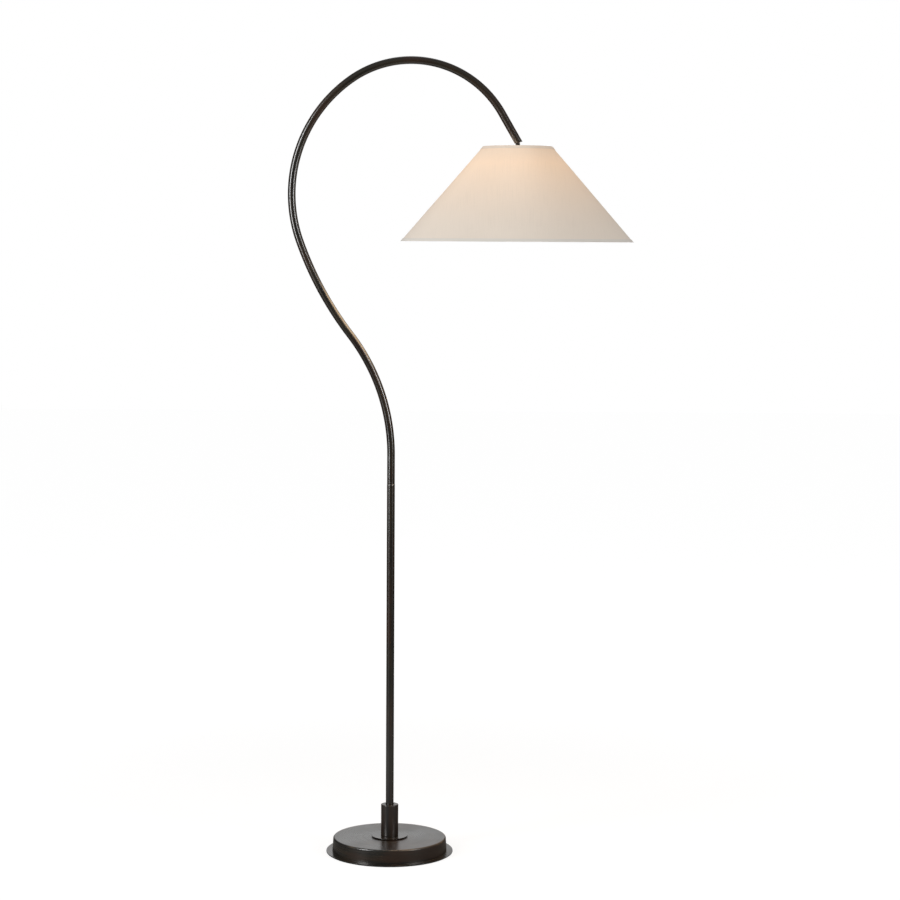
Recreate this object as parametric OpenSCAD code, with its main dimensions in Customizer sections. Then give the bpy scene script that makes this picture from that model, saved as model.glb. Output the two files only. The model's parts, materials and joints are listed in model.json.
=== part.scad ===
// Bridge floor lamp: a weighted round base, a straight stem, an S-bent arm that swivels on the
// stem, and a cone shade hung with its lampholder and bulb from the arm's tip.
// Millimetres. The origin is on the stem's axis at the floor, +Z up, +X towards the shade.

/* [Base] */
// Diameter of the thin flange at the floor
flange_d = 282; // [270:1:320]
// Diameter of the drum where it meets the flange
drum_foot_d = 255; // [252:1:262]
// Diameter of the drum just under its rounded top edge
drum_top_d = 251; // [240:1:254]
// Height of the base's top face above the floor
base_h = 34.4; // [33:0.2:50]
// Thickness of the base's spun sheet
sheet_t = 2.2; // [1.6:0.1:2.8]
// Outer radius of the drum's top edge
drum_edge_r = 4; // [3:0.5:6]
// Radius of the hollow curve between drum and flange
drum_foot_r = 3; // [1:0.5:4]
// Thickness of the felt under the base
felt_t = 1.5; // [1:0.1:3]
// How far the felt stays in from the flange's edge
felt_inset = 3; // [1:0.5:6]
// Thickness of the bottom plate
plate_t = 1.5; // [1:0.1:2]
// Gap between the cast weight and the drum's wall
weight_gap = 1.5; // [1:0.1:3]
// Chamfer on the cast weight's upper edge
weight_chamfer = 3; // [2.5:0.5:6]
// Diameter of the recess under the weight, for the nut and the cord
recess_d = 110; // [60:1:150]
// Depth of that recess
recess_h = 14; // [13:0.5:16]
// Width of the cord's channel in the weight
channel_w = 11; // [9:0.5:14]
// Height of the cord's channel above the bottom plate
channel_h = 12; // [9:0.5:14]
// Number of screws in the bottom plate
plate_screws_n = 3; // [3:1:6]
// Radius of the circle that those screws lie on
plate_screws_r = 98; // [90:1:105]
// Diameter of those screws
plate_screw_d = 5; // [4:0.5:6]
// Diameter of their countersunk heads
plate_screw_head_d = 9; // [8:0.5:10]
// Length of those screws
plate_screw_len = 14; // [10:0.5:18]

/* [Cord inlet] */
// Height of the inlet's axis above the floor
inlet_z = 13.5; // [13:0.1:15]
// Bore of the rubber grommet
grommet_bore_d = 7.2; // [6:0.1:7.6]
// Diameter of the grommet's neck in the sheet
grommet_neck_d = 10.2; // [9.8:0.1:10.6]
// Diameter of the grommet's two lips
grommet_lip_d = 13.4; // [12:0.1:14]
// Thickness of each lip
grommet_lip_t = 1.8; // [1.2:0.1:2]
// Room in the weight behind the grommet, for the cord's knot
cord_room = 5.3; // [4:0.1:8]

/* [Neck] */
// Diameter of the thin check disc
disc_d = 80; // [60:1:100]
// Thickness of the check disc
disc_t = 3; // [2.5:0.1:4]
// Width of the check disc's undercut rim
disc_rim_w = 4; // [2:0.5:8]
// Height of the undercut
disc_rim_gap = 1.8; // [0.4:0.1:2]
// Diameter of the collar
collar_d = 38.5; // [32:0.5:50]
// Height of the collar
collar_h = 70.1; // [50:0.1:100]
// Thickness of the collar's floor
collar_floor_t = 6; // [4:0.5:8]
// Radius on the collar's outer top edge
collar_edge_r = 1.5; // [0.5:0.1:2]
// Width of the shadow gap round the stem at the collar's mouth
collar_gap_w = 0.8; // [0.4:0.1:1.5]
// Depth of that gap
collar_gap_h = 3; // [1:0.5:6]

/* [Stem and threaded tube] */
// Outer diameter of the stem tube
stem_d = 17.5; // [16.8:0.1:20]
// Wall of the stem tube
stem_wall = 1.25; // [1:0.05:1.3]
// Height of the seam between stem and arm
seam_z = 823; // [600:1:1000]
// Outer diameter of the threaded tubes
thread_d = 10.2; // [9.8:0.1:10.4]
// Bore of the threaded tubes
thread_bore_d = 6.8; // [6:0.1:7.2]
// Width across flats of the nuts on the threaded tubes
nut_af = 14; // [13.6:0.1:14.2]
// Thickness of the nuts under the base and in the collar
nut_t = 4; // [3:0.1:5]
// Diameter of the broad washer under the weight
base_washer_d = 34; // [26:1:48]
// Thickness of the broad washer
base_washer_t = 2; // [1.5:0.1:2.5]
// Diameter of the lock washers on the threaded tubes
lock_washer_d = 16; // [15:0.2:16.4]
// Thickness of the lock washers
lock_washer_t = 1.2; // [0.8:0.1:1.6]
// How far a threaded tube stands past its nut
thread_tail = 1; // [0.5:0.1:2]
// Length of the threaded bush in the stem's foot
foot_bush_len = 20; // [14:1:40]

/* [Swivel at the seam] */
// Thickness of the bright ring at the seam
ring_t = 0.8; // [0.6:0.1:1.5]
// How far that ring stands proud of the stem
ring_proud = 0.3; // [0.1:0.05:0.6]
// Diameter of the spindle's journal
journal_d = 9; // [8.6:0.1:9.4]
// Bore through the spindle for the wires
spindle_bore_d = 5.6; // [5:0.1:6]
// Radial running clearance of the journal
journal_gap = 0.05; // [0.03:0.01:0.08]
// Length of the bush in the stem's top
top_bush_len = 24; // [18:1:40]
// Length of the spindle inside the arm's foot
spindle_grip = 22; // [15:1:40]
// Diameter of the stop pin
stop_pin_d = 2.6; // [2:0.1:2.8]
// How far the stop pin stands out of the journal
stop_pin_out = 1.7; // [1.2:0.1:1.8]
// Half the angle of the fixed lug that the stop pin meets
stop_lug_half = 5; // [3:0.5:5]
// Width across flats of the spindle's nut
spindle_nut_af = 12.6; // [12:0.1:12.8]
// Thickness of the spindle's nut
spindle_nut_t = 4; // [3:0.1:6]
// Thickness of the spring washer over that nut
friction_washer_t = 1.2; // [0.8:0.1:1.6]
// Diameter of that spring washer
friction_washer_d = 14; // [12:0.1:14.4]

/* [Arm tube] */
// Outer diameter of the arm tube
arm_d = 17; // [16.6:0.1:20]
// Wall of the arm tube
arm_wall = 1.25; // [1:0.05:1.4]
// Straight length above the seam
arm_foot_len = 65; // [40:1:120]
// Radius of the first bend, away from the shade
bend_1_r = 431; // [350:1:500]
// Angle of the first bend
bend_1_deg = 37.7; // [30:0.1:44]
// Radius of the second bend, back towards the shade
bend_2_r = 734; // [600:1:900]
// Angle of the second bend
bend_2_deg = 18.3; // [12:0.1:24]
// Radius of the third bend
bend_3_r = 305; // [260:1:350]
// Angle of the third bend
bend_3_deg = 74.3; // [68:0.1:80]
// Radius of the last bend, over the top
bend_4_r = 227.5; // [190:0.5:270]
// Angle of the last bend
bend_4_deg = 95; // [88:0.1:100]
// Straight length at the tip
arm_tip_len = 73; // [50:1:110]
// How much flatter than square the tip is cut
tip_mitre = 15; // [5:1:20]

/* [Arm tip] */
// Length of the plug in the arm's tip
tip_plug_len = 20; // [18:1:40]
// How far the threaded tube stands off the tip's centre, towards the stem
nipple_offset = 1.8; // [1:0.1:1.9]
// Depth of the threaded tube above the tip's centre
nipple_grip = 5; // [3:0.1:6]
// Drop from the tip's centre to the shade's hub
tip_to_hub = 14.5; // [11:0.5:30]
// Thickness of the lock nut over the hub
shade_nut_t = 3.5; // [3:0.1:5]

/* [Shade] */
// Bottom diameter of the shade
shade_bottom_d = 508; // [420:1:600]
// Top diameter of the shade
shade_top_d = 152; // [130:1:200]
// Height of the shade
shade_h = 205.5; // [190:0.5:260]
// Thickness of linen and liner, measured level
shade_wall = 1.2; // [0.8:0.1:2]
// Depth of the hub below the shade's upper rim
hub_drop = 5.6; // [5:0.1:12]
// Diameter of the hub of the shade's frame
hub_d = 28; // [22:1:40]
// Thickness of that hub
hub_t = 1.6; // [1.2:0.1:2.5]
// Diameter of the wire in the rings and arms
wire_d = 3; // [2.4:0.1:4]
// Number of arms of the frame
shade_arms_n = 3; // [3:1:6]
// Height of the tapes on the rims
hem_h = 6; // [4:0.5:12]
// Thickness of the tapes
hem_t = 0.5; // [0.3:0.05:0.8]

/* [Lampholder] */
// Diameter of the lampholder's shell
holder_d = 35; // [34.8:0.1:38]
// Length of the shell
holder_shell_len = 51; // [49:0.5:56]
// Sheet of the shell
holder_sheet = 0.6; // [0.4:0.05:0.7]
// Sheet of the cap
cap_sheet = 0.8; // [0.6:0.05:1]
// Radius of the cap's dome
cap_dome_r = 13; // [11:0.5:14]
// Length of the cap's straight skirt
cap_skirt_h = 8; // [6:0.5:12]
// Diameter of the cap's neck
cap_neck_d = 17; // [16.6:0.2:20]
// Height of the cap's neck
cap_neck_h = 5; // [4.6:0.2:8]
// How far the shell goes up into the cap
shell_overlap = 4; // [3:0.5:5]
// Diameter of the cap's grub screw
grub_d = 3; // [2.5:0.1:3]
// How far the grub screw stands out of the cap's neck
grub_out = 1; // [0.5:0.1:2]
// Width of the slot in the grub screw
slot_w = 0.6; // [0.4:0.1:0.8]
// Depth of that slot
slot_depth = 0.8; // [0.4:0.1:1]
// Radius of the bead at the shell's mouth
holder_bead_r = 0.9; // [0.7:0.1:1.2]
// Thickness of the fibre liner
liner_t = 0.4; // [0.3:0.05:0.5]
// How far the liner stays back from the shell's mouth
liner_setback = 1; // [0.5:0.5:3]
// Height of the moulded body
body_h = 21; // [20:0.5:22]
// Outer diameter of the threaded lamp shell
screw_shell_d = 27.5; // [27.3:0.1:28.5]
// Sheet of the threaded lamp shell
screw_shell_sheet = 0.4; // [0.3:0.05:0.4]
// How far the threaded lamp shell stays back from the shell's mouth
screw_shell_setback = 2; // [1:0.5:4]
// Width of the centre contact
contact_w = 4; // [3:0.5:5]
// Thickness of the centre contact
contact_t = 0.8; // [0.5:0.1:1]
// How far the centre contact bends down to the bulb
contact_drop = 4; // [3:0.5:5]
// Diameter of the heads of the wire screws
terminal_head_d = 6; // [5:0.1:7]
// Thickness of those heads
terminal_head_t = 2; // [1.5:0.1:2.5]
// Room round those heads in the moulded body
terminal_room = 1.5; // [1:0.1:2]
// Diameter of the wire screws
terminal_d = 3; // [2.5:0.1:3.5]

/* [Switch] */
// Height of the switch's axis above the moulded body's foot
switch_up = 10; // [8:0.5:13]
// Diameter of the switch's shaft
switch_shaft_d = 3.2; // [2.8:0.1:4]
// Radial running clearance of the shaft
switch_gap = 0.06; // [0.03:0.01:0.1]
// Diameter of the switch's bush
switch_bush_d = 8; // [7:0.1:9]
// Length of the switch's bush outside the shell
switch_bush_out = 6; // [4:0.5:10]
// Distance of the shaft's inner end from the lampholder's axis
switch_inside = 3; // [2:0.1:5]
// Gap between the bush and the knob
knob_gap = 0.3; // [0.2:0.1:1]
// Length of the knob
knob_len = 14; // [10:0.5:20]
// Width of the knob's blade
knob_w = 17; // [12:0.5:20]
// Thickness of the knob's blade
knob_t = 5; // [4:0.5:8]
// Diameter of the knob's round foot
knob_foot_d = 10; // [8:0.5:12]
// Length of that foot
knob_foot_len = 4.5; // [3:0.5:6]

/* [Bulb] */
// Diameter of the globe
globe_d = 60; // [55:1:65]
// Overall length of the bulb
bulb_len = 108; // [100:1:116]
// Wall of the globe
globe_wall = 1; // [0.8:0.1:1.5]
// Diameter of the bulb's screw cap
bulb_cap_d = 26.2; // [26:0.1:26.4]
// Length of the bulb's screw cap
bulb_cap_len = 23; // [20:0.5:25]
// Sheet of the bulb's screw cap
bulb_cap_sheet = 0.4; // [0.3:0.05:0.6]
// How far the globe's neck goes up into the screw cap
globe_grip = 12; // [8:0.5:16]
// Height of the black glass between cap and contact
bulb_insulator_h = 2.6; // [2:0.1:3.5]
// Diameter of the black glass at the contact
bulb_insulator_d = 13; // [11:0.5:16]
// Thickness of the bulb's contact
bulb_contact_h = 1; // [0.6:0.1:1.4]
// Diameter of the bulb's contact
bulb_contact_d = 8.8; // [7:0.1:10]

/* [Hidden] */
$fn = 96;

bronze = "#3a322c";
iron = "#4b4a48";
zinc = "#b9bcc0";
brass = "#b8954e";
linen = "#e6dccb";
black = "#1d1b1a";

// Clearances shared by all the fits
slip = 0.05;        // between a turned piece and the tube or hole that holds it
loose = 0.15;       // between a washer, nut or plate and what passes through it
past = 1;           // how far a cutter runs past the face that it cuts

// Base, from the floor up
flange_r = flange_d / 2;
foot_r = drum_foot_d / 2;
drum_r = drum_top_d / 2;
shell_z = felt_t;
flange_top_z = shell_z + sheet_t;
side_rise = base_h - drum_edge_r - shell_z;
ceiling_z = base_h - sheet_t;
plate_top_z = shell_z + plate_t;
recess_top_z = plate_top_z + recess_h;
function drum_side_r(z) = foot_r - (foot_r - drum_r) * (z - shell_z) / side_rise;
weight_r = min(foot_r, drum_r) - sheet_t - weight_gap;
drum_reach = max(foot_r, drum_r) + past;

// Cord inlet, at the back of the drum
inlet_wall_r = drum_side_r(inlet_z);
lip_rise = abs(foot_r - drum_r) / side_rise * grommet_lip_d / 2;
lip_sag = inlet_wall_r - sqrt(pow(inlet_wall_r, 2) - pow(grommet_lip_d / 2, 2));
outer_lip_y = inlet_wall_r + lip_rise + slip;
inner_lip_y = inlet_wall_r - sheet_t - lip_rise - lip_sag - slip;
pocket_w = grommet_lip_d + 2 * weight_gap;
pocket_y = inner_lip_y - grommet_lip_t - cord_room;

// Threaded tube and its nuts
thread_r = thread_d / 2;
base_nut_top_z = recess_top_z - base_washer_t - lock_washer_t;
tie_z = base_nut_top_z - nut_t - thread_tail;
disc_top_z = base_h + disc_t;
collar_floor_z = disc_top_z + collar_floor_t;
collar_top_z = disc_top_z + collar_h;
neck_nut_z = collar_floor_z + lock_washer_t;
stem_z = neck_nut_z + nut_t;
tie_top_z = stem_z + foot_bush_len - 2 * thread_tail;

// Stem and swivel
stem_r = stem_d / 2;
stem_bore_r = stem_r - stem_wall;
stem_top_z = seam_z - ring_t / 2;
arm_z = seam_z + ring_t / 2;
journal_r = journal_d / 2;
bush_bore_r = journal_r + journal_gap;
stop_end_r = journal_r + stop_pin_out;
stop_pin_z = stem_top_z - stop_pin_d / 2 - slip;
stop_groove_h = stop_pin_d + 4 * slip;
bush_foot_z = stem_top_z - top_bush_len;
spindle_nut_z = bush_foot_z - friction_washer_t - spindle_nut_t;
spindle_foot_z = spindle_nut_z - thread_tail;

// The arm's path in the XZ plane: each run is [length, 0] or [radius, turn], left turns positive
arm_r = arm_d / 2;
arm_bore_r = arm_r - arm_wall;
arm_runs = [
    [arm_foot_len, 0], [bend_1_r, bend_1_deg], [bend_2_r, -bend_2_deg],
    [bend_3_r, -bend_3_deg], [bend_4_r, -bend_4_deg], [arm_tip_len, 0]
];
arm_sides = 24;
arm_ring_step = 4;
function along(heading) = [cos(heading), sin(heading)];
function across(heading) = [-sin(heading), cos(heading)];
function run_move(run, heading, share) =
    run[1] == 0
    ? share * run[0] * along(heading)
    : sign(run[1]) * run[0] * (across(heading) - across(heading + share * run[1]));
arm_starts = [
    for (i = 0, at = [0, arm_z], heading = 90;
         i <= len(arm_runs);
         at = i < len(arm_runs) ? at + run_move(arm_runs[i], heading, 1) : at,
         heading = i < len(arm_runs) ? heading + arm_runs[i][1] : heading,
         i = i + 1)
    [at, heading]
];
arm_rings = [
    for (i = [0 : len(arm_runs) - 1])
    let (
        run = arm_runs[i],
        start = arm_starts[i],
        steps = run[1] == 0 ? 1 : ceil(abs(run[1]) / arm_ring_step)
    )
    for (k = [0 : steps - 1])
    [start[0] + run_move(run, start[1], k / steps), start[1] + run[1] * k / steps, 0],
    [arm_starts[len(arm_runs)][0], arm_starts[len(arm_runs)][1], tip_mitre]
];
tip_x = arm_starts[len(arm_runs)][0][0];
tip_z = arm_starts[len(arm_runs)][0][1];
tip_heading = arm_starts[len(arm_runs)][1];

// Shade and lampholder, from the tip down
shade_x = tip_x - nipple_offset;
hub_z = tip_z - tip_to_hub;
rim_z = hub_z + hub_drop;
shade_foot_z = rim_z - shade_h;
shade_slope = (shade_bottom_d - shade_top_d) / 2 / shade_h;
function shade_r(z) = shade_top_d / 2 + (rim_z - z) * shade_slope;
wire_r = wire_d / 2;
wire_gap = shade_wall + hem_t + 2 * slip + wire_r * sqrt(1 + pow(shade_slope, 2));
top_ring_z = rim_z - wire_r - hem_t;
bottom_ring_z = shade_foot_z + wire_r + hem_t;
arm_wire_z = hub_z - hub_t / 2;
cap_top_z = hub_z - hub_t - lock_washer_t;
cap_inner_r = holder_d / 2 + 4 * slip;
cap_r = cap_inner_r + cap_sheet;
cap_dome_z = cap_top_z - cap_neck_h - cap_dome_r;
cap_foot_z = cap_dome_z - cap_skirt_h;
nipple_z = cap_top_z - cap_neck_h;
nipple_top_z = tip_z + nipple_grip;
shell_top_z = cap_foot_z + shell_overlap;
shell_foot_z = shell_top_z - holder_shell_len;
holder_r = holder_d / 2;
liner_r = holder_r - holder_sheet - slip;
body_r = liner_r - liner_t - slip;
body_top_z = shell_top_z - slip;
body_z = body_top_z - body_h;
switch_z = body_z + switch_up;
switch_bush_end = holder_r + switch_bush_out;
knob_z = switch_bush_end + knob_gap;
shaft_end = knob_z + knob_len - switch_shaft_d / 2;
notch_w = terminal_head_d + 2 * terminal_room;
notch_x = body_r - 2 * terminal_head_t;
screw_r = screw_shell_d / 2;
bulb_top_z = body_z - contact_drop - contact_t;

// Bulb, hung cap up
cap_end_z = bulb_top_z - bulb_contact_h - bulb_insulator_h;
cap_mouth_z = cap_end_z - bulb_cap_len;
globe_r = globe_d / 2;
globe_z = bulb_top_z - bulb_len + globe_r;
globe_neck_r = bulb_cap_d / 2 - bulb_cap_sheet - slip;

module ring_of(outer_r, inner_r, height) {
    difference() {
        cylinder(r = outer_r, h = height);
        translate([0, 0, -past]) cylinder(r = inner_r, h = height + 2 * past);
    }
}

module hex_nut(across_flats, bore_r, height) {
    difference() {
        cylinder(d = across_flats / cos(30), h = height, $fn = 6);
        translate([0, 0, -past]) cylinder(r = bore_r, h = height + 2 * past);
    }
}

module at_shade(z) {
    translate([shade_x, 0, z]) children();
}

module along_front(z) {
    at_shade(z) rotate([90, 0, 0]) children();
}

// The drum's outline, for its outer face and, set in by the sheet, for its inner face
module drum_outline(inset) {
    edge = drum_edge_r - inset;
    top_z = base_h - inset;
    edge_r = drum_r - inset;
    polygon([
        [0, shell_z], [foot_r - inset, shell_z], [edge_r, base_h - drum_edge_r],
        [edge_r - edge, top_z], [0, top_z]
    ]);
    translate([edge_r - edge, base_h - drum_edge_r]) circle(r = edge);
}

module drum_foot_curve() {
    curve_x = drum_side_r(flange_top_z + drum_foot_r) + drum_foot_r;
    difference() {
        translate([foot_r - sheet_t, flange_top_z - sheet_t / 2])
            square([curve_x - foot_r + sheet_t, drum_foot_r + sheet_t / 2]);
        translate([curve_x, flange_top_z + drum_foot_r]) circle(r = drum_foot_r);
    }
}

module base_shell() {
    color(bronze)
    difference() {
        rotate_extrude()
        difference() {
            union() {
                drum_outline(0);
                drum_foot_curve();
                translate([foot_r - sheet_t, shell_z])
                    square([flange_r - foot_r + sheet_t / 2, sheet_t]);
                translate([flange_r - sheet_t / 2, shell_z + sheet_t / 2]) circle(d = sheet_t);
            }
            drum_outline(sheet_t);
            translate([0, shell_z - past]) square([foot_r - sheet_t, past + sheet_t / 2]);
        }
        cylinder(r = thread_r + loose, h = base_h + past);
        translate([0, drum_reach, inlet_z]) rotate([90, 0, 0])
            cylinder(d = grommet_neck_d + 2 * slip, h = drum_reach / 2);
    }
}

module foot_pad() {
    color(black) cylinder(r = flange_r - felt_inset, h = felt_t);
}

module each_plate_screw() {
    for (i = [0 : plate_screws_n - 1])
        rotate([0, 0, -90 + i * 360 / plate_screws_n]) translate([plate_screws_r, 0, shell_z]) children();
}

module plate_screw(extra) {
    cylinder(r1 = plate_screw_head_d / 2 + extra, r2 = plate_screw_d / 2 + extra, h = plate_t);
    cylinder(r = plate_screw_d / 2 + extra, h = plate_screw_len + extra);
}

module bottom_plate() {
    color(zinc)
    difference() {
        translate([0, 0, shell_z]) cylinder(r = weight_r, h = plate_t);
        each_plate_screw() plate_screw(slip);
    }
}

module plate_screws() {
    color(zinc) each_plate_screw() plate_screw(0);
}

// The weight clears the drum where the drum is narrowest
module base_weight() {
    weight_h = ceiling_z - plate_top_z;
    color(iron)
    difference() {
        translate([0, 0, plate_top_z]) union() {
            cylinder(r = weight_r, h = weight_h - weight_chamfer);
            translate([0, 0, weight_h - weight_chamfer])
                cylinder(r1 = weight_r, r2 = weight_r - weight_chamfer, h = weight_chamfer);
        }
        translate([0, 0, plate_top_z - past]) cylinder(d = recess_d, h = recess_h + past);
        translate([-channel_w / 2, 0, plate_top_z - past])
            cube([channel_w, drum_reach, channel_h + past]);
        translate([-pocket_w / 2, pocket_y, plate_top_z - past])
            cube([pocket_w, drum_reach - pocket_y, inlet_z + pocket_w / 2 - plate_top_z + past]);
        cylinder(r = thread_r + loose, h = base_h);
        each_plate_screw() plate_screw(slip);
    }
}

module cord_grommet() {
    color(black)
    difference() {
        translate([0, 0, inlet_z]) rotate([-90, 0, 0]) union() {
            translate([0, 0, outer_lip_y]) cylinder(d = grommet_lip_d, h = grommet_lip_t);
            translate([0, 0, inner_lip_y - grommet_lip_t])
                cylinder(d = grommet_neck_d, h = outer_lip_y - inner_lip_y + 2 * grommet_lip_t);
            translate([0, 0, inner_lip_y - grommet_lip_t])
                cylinder(d = grommet_lip_d, h = grommet_lip_t);
        }
        translate([0, 0, inlet_z]) rotate([-90, 0, 0])
            cylinder(d = grommet_bore_d, h = outer_lip_y + grommet_lip_t + past);
    }
}

module base_washer() {
    color(zinc) translate([0, 0, recess_top_z - base_washer_t])
        ring_of(base_washer_d / 2, thread_r + loose, base_washer_t);
}

module base_lock_washer() {
    color(zinc) translate([0, 0, base_nut_top_z])
        ring_of(lock_washer_d / 2, thread_r + loose, lock_washer_t);
}

module base_nut() {
    color(zinc) translate([0, 0, base_nut_top_z - nut_t]) hex_nut(nut_af, thread_r + slip, nut_t);
}

module tie_tube() {
    color(zinc) translate([0, 0, tie_z]) ring_of(thread_r, thread_bore_d / 2, tie_top_z - tie_z);
}

module check_disc() {
    color(bronze)
    difference() {
        translate([0, 0, base_h]) cylinder(d = disc_d, h = disc_t);
        translate([0, 0, base_h - past])
            ring_of(disc_d / 2 + past, disc_d / 2 - disc_rim_w, disc_rim_gap + past);
        cylinder(r = thread_r + loose, h = disc_top_z + past);
    }
}

module collar() {
    collar_r = collar_d / 2;
    color(bronze)
    difference() {
        rotate_extrude() {
            translate([0, disc_top_z]) square([collar_r, collar_h - collar_edge_r]);
            translate([0, disc_top_z]) square([collar_r - collar_edge_r, collar_h]);
            translate([collar_r - collar_edge_r, collar_top_z - collar_edge_r]) circle(r = collar_edge_r);
        }
        cylinder(r = thread_r + loose, h = collar_top_z);
        translate([0, 0, collar_floor_z]) cylinder(r = stem_r + loose, h = collar_h);
        translate([0, 0, collar_top_z - collar_gap_h])
            cylinder(r = stem_r + loose + collar_gap_w, h = collar_gap_h + past);
    }
}

module neck_washer() {
    color(zinc) translate([0, 0, collar_floor_z])
        ring_of(lock_washer_d / 2, thread_r + loose, lock_washer_t);
}

module neck_nut() {
    color(zinc) translate([0, 0, neck_nut_z]) hex_nut(nut_af, thread_r + slip, nut_t);
}

module stem_foot_bush() {
    color(brass) translate([0, 0, stem_z])
        ring_of(stem_bore_r - slip, thread_r + slip, foot_bush_len);
}

module stem_tube() {
    color(bronze) translate([0, 0, stem_z]) ring_of(stem_r, stem_bore_r, stem_top_z - stem_z);
}

// The stop's lug stands in the groove opposite the stop pin
module stop_groove() {
    lug = 2 * stem_r;
    difference() {
        cylinder(r = norm([stop_end_r, stop_pin_d / 2]) + 2 * slip, h = stop_groove_h + past);
        translate([0, 0, -past]) linear_extrude(stop_groove_h + 3 * past)
            polygon([
                [0, 0],
                [-lug, -lug * tan(stop_lug_half)],
                [-lug, lug * tan(stop_lug_half)]
            ]);
    }
}

module stem_top_bush() {
    color(brass)
    difference() {
        translate([0, 0, bush_foot_z]) cylinder(r = stem_bore_r - slip, h = top_bush_len);
        translate([0, 0, bush_foot_z - past]) cylinder(r = bush_bore_r, h = top_bush_len + 2 * past);
        translate([0, 0, stem_top_z - stop_groove_h]) stop_groove();
    }
}

module swivel_ring() {
    color(zinc) translate([0, 0, stem_top_z]) ring_of(stem_r + ring_proud, journal_r + loose, ring_t);
}

module arm_spindle() {
    color(brass)
    difference() {
        union() {
            translate([0, 0, arm_z]) cylinder(r = arm_bore_r - slip, h = spindle_grip);
            translate([0, 0, spindle_foot_z])
                cylinder(r = journal_r, h = arm_z - spindle_foot_z + past);
        }
        translate([0, 0, spindle_foot_z - past])
            cylinder(d = spindle_bore_d, h = arm_z + spindle_grip - spindle_foot_z + 2 * past);
        translate([0, 0, stop_pin_z]) rotate([0, 90, 0])
            cylinder(d = stop_pin_d + 2 * slip, h = stop_end_r);
    }
}

module stop_pin() {
    color(zinc)
    translate([spindle_bore_d / 2, 0, stop_pin_z]) rotate([0, 90, 0])
        cylinder(d = stop_pin_d, h = stop_end_r - spindle_bore_d / 2);
}

module friction_washer() {
    color(zinc) translate([0, 0, bush_foot_z - friction_washer_t])
        ring_of(friction_washer_d / 2, journal_r + loose, friction_washer_t);
}

module spindle_nut() {
    color(zinc) translate([0, 0, spindle_nut_z]) hex_nut(spindle_nut_af, journal_r + slip, spindle_nut_t);
}

// One tube swept round the arm's rings. The bore's flats stand on its radius, so that a round
// plug or spindle of that radius fits inside
function arm_point(ring, radius, angle) =
    let (
        side = radius * cos(angle),
        spot = ring[0] + side * across(ring[1]) + side * tan(ring[2]) * along(ring[1])
    )
    [spot[0], radius * sin(angle), spot[1]];

module arm_tube() {
    walls = [arm_r, arm_bore_r / cos(180 / arm_sides)];
    count = len(arm_rings);
    points = [
        for (wall = walls) for (ring = arm_rings) for (k = [0 : arm_sides - 1])
        arm_point(ring, wall, k * 360 / arm_sides)
    ];
    function id(wall, ring, k) = (wall * count + ring) * arm_sides + k % arm_sides;
    outside = [
        for (ring = [0 : count - 2]) for (k = [0 : arm_sides - 1])
        for (face = [
            [id(0, ring, k), id(0, ring, k + 1), id(0, ring + 1, k + 1)],
            [id(0, ring, k), id(0, ring + 1, k + 1), id(0, ring + 1, k)]
        ]) face
    ];
    inside = [
        for (ring = [0 : count - 2]) for (k = [0 : arm_sides - 1])
        for (face = [
            [id(1, ring, k), id(1, ring + 1, k + 1), id(1, ring, k + 1)],
            [id(1, ring, k), id(1, ring + 1, k), id(1, ring + 1, k + 1)]
        ]) face
    ];
    foot = [
        for (k = [0 : arm_sides - 1])
        for (face = [
            [id(0, 0, k), id(1, 0, k + 1), id(0, 0, k + 1)],
            [id(0, 0, k), id(1, 0, k), id(1, 0, k + 1)]
        ]) face
    ];
    tip = [
        for (k = [0 : arm_sides - 1])
        for (face = [
            [id(0, count - 1, k), id(0, count - 1, k + 1), id(1, count - 1, k + 1)],
            [id(0, count - 1, k), id(1, count - 1, k + 1), id(1, count - 1, k)]
        ]) face
    ];
    color(bronze) polyhedron(points, concat(outside, inside, foot, tip));
}

module at_tip(turn) {
    translate([tip_x, 0, tip_z]) rotate([0, 90 - tip_heading + turn, 0]) children();
}

module tip_plug() {
    color(brass)
    difference() {
        at_tip(0) translate([0, 0, -tip_plug_len])
            cylinder(r = arm_bore_r - slip, h = tip_plug_len + arm_d);
        at_tip(tip_mitre) translate([-arm_d, -arm_d, 0]) cube([2 * arm_d, 2 * arm_d, 2 * arm_d]);
        at_shade(tip_z - arm_d) cylinder(r = thread_r + slip, h = nipple_top_z - tip_z + arm_d);
        at_tip(0) translate([0, 0, -tip_plug_len - past])
            cylinder(d = thread_bore_d, h = tip_plug_len);
    }
}

module tip_nipple() {
    color(bronze) at_shade(nipple_z) ring_of(thread_r, thread_bore_d / 2, nipple_top_z - nipple_z);
}

module shade_lock_nut() {
    color(bronze) at_shade(hub_z) hex_nut(nut_af, thread_r + slip, shade_nut_t);
}

module wire_ring(z, radius) {
    at_shade(z) rotate_extrude() translate([radius, 0]) circle(r = wire_r);
}

// The arms start on the hub, just clear of the washer and nut that clamp it
module shade_frame() {
    top_ring_r = shade_r(top_ring_z) - wire_gap;
    reach = norm([top_ring_r, top_ring_z - arm_wire_z]);
    rise = atan2(top_ring_z - arm_wire_z, top_ring_r);
    start = lock_washer_d / 2 + past;
    color("white")
    difference() {
        union() {
            wire_ring(top_ring_z, top_ring_r);
            at_shade(hub_z - hub_t) cylinder(d = hub_d, h = hub_t);
            for (i = [0 : shade_arms_n - 1])
                at_shade(arm_wire_z) rotate([0, 90 - rise, 180 + i * 360 / shade_arms_n])
                    translate([0, 0, start]) cylinder(r = wire_r, h = reach - start);
        }
        at_shade(hub_z - hub_t - past) cylinder(r = thread_r + loose, h = hub_t + 2 * past);
    }
}

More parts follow.
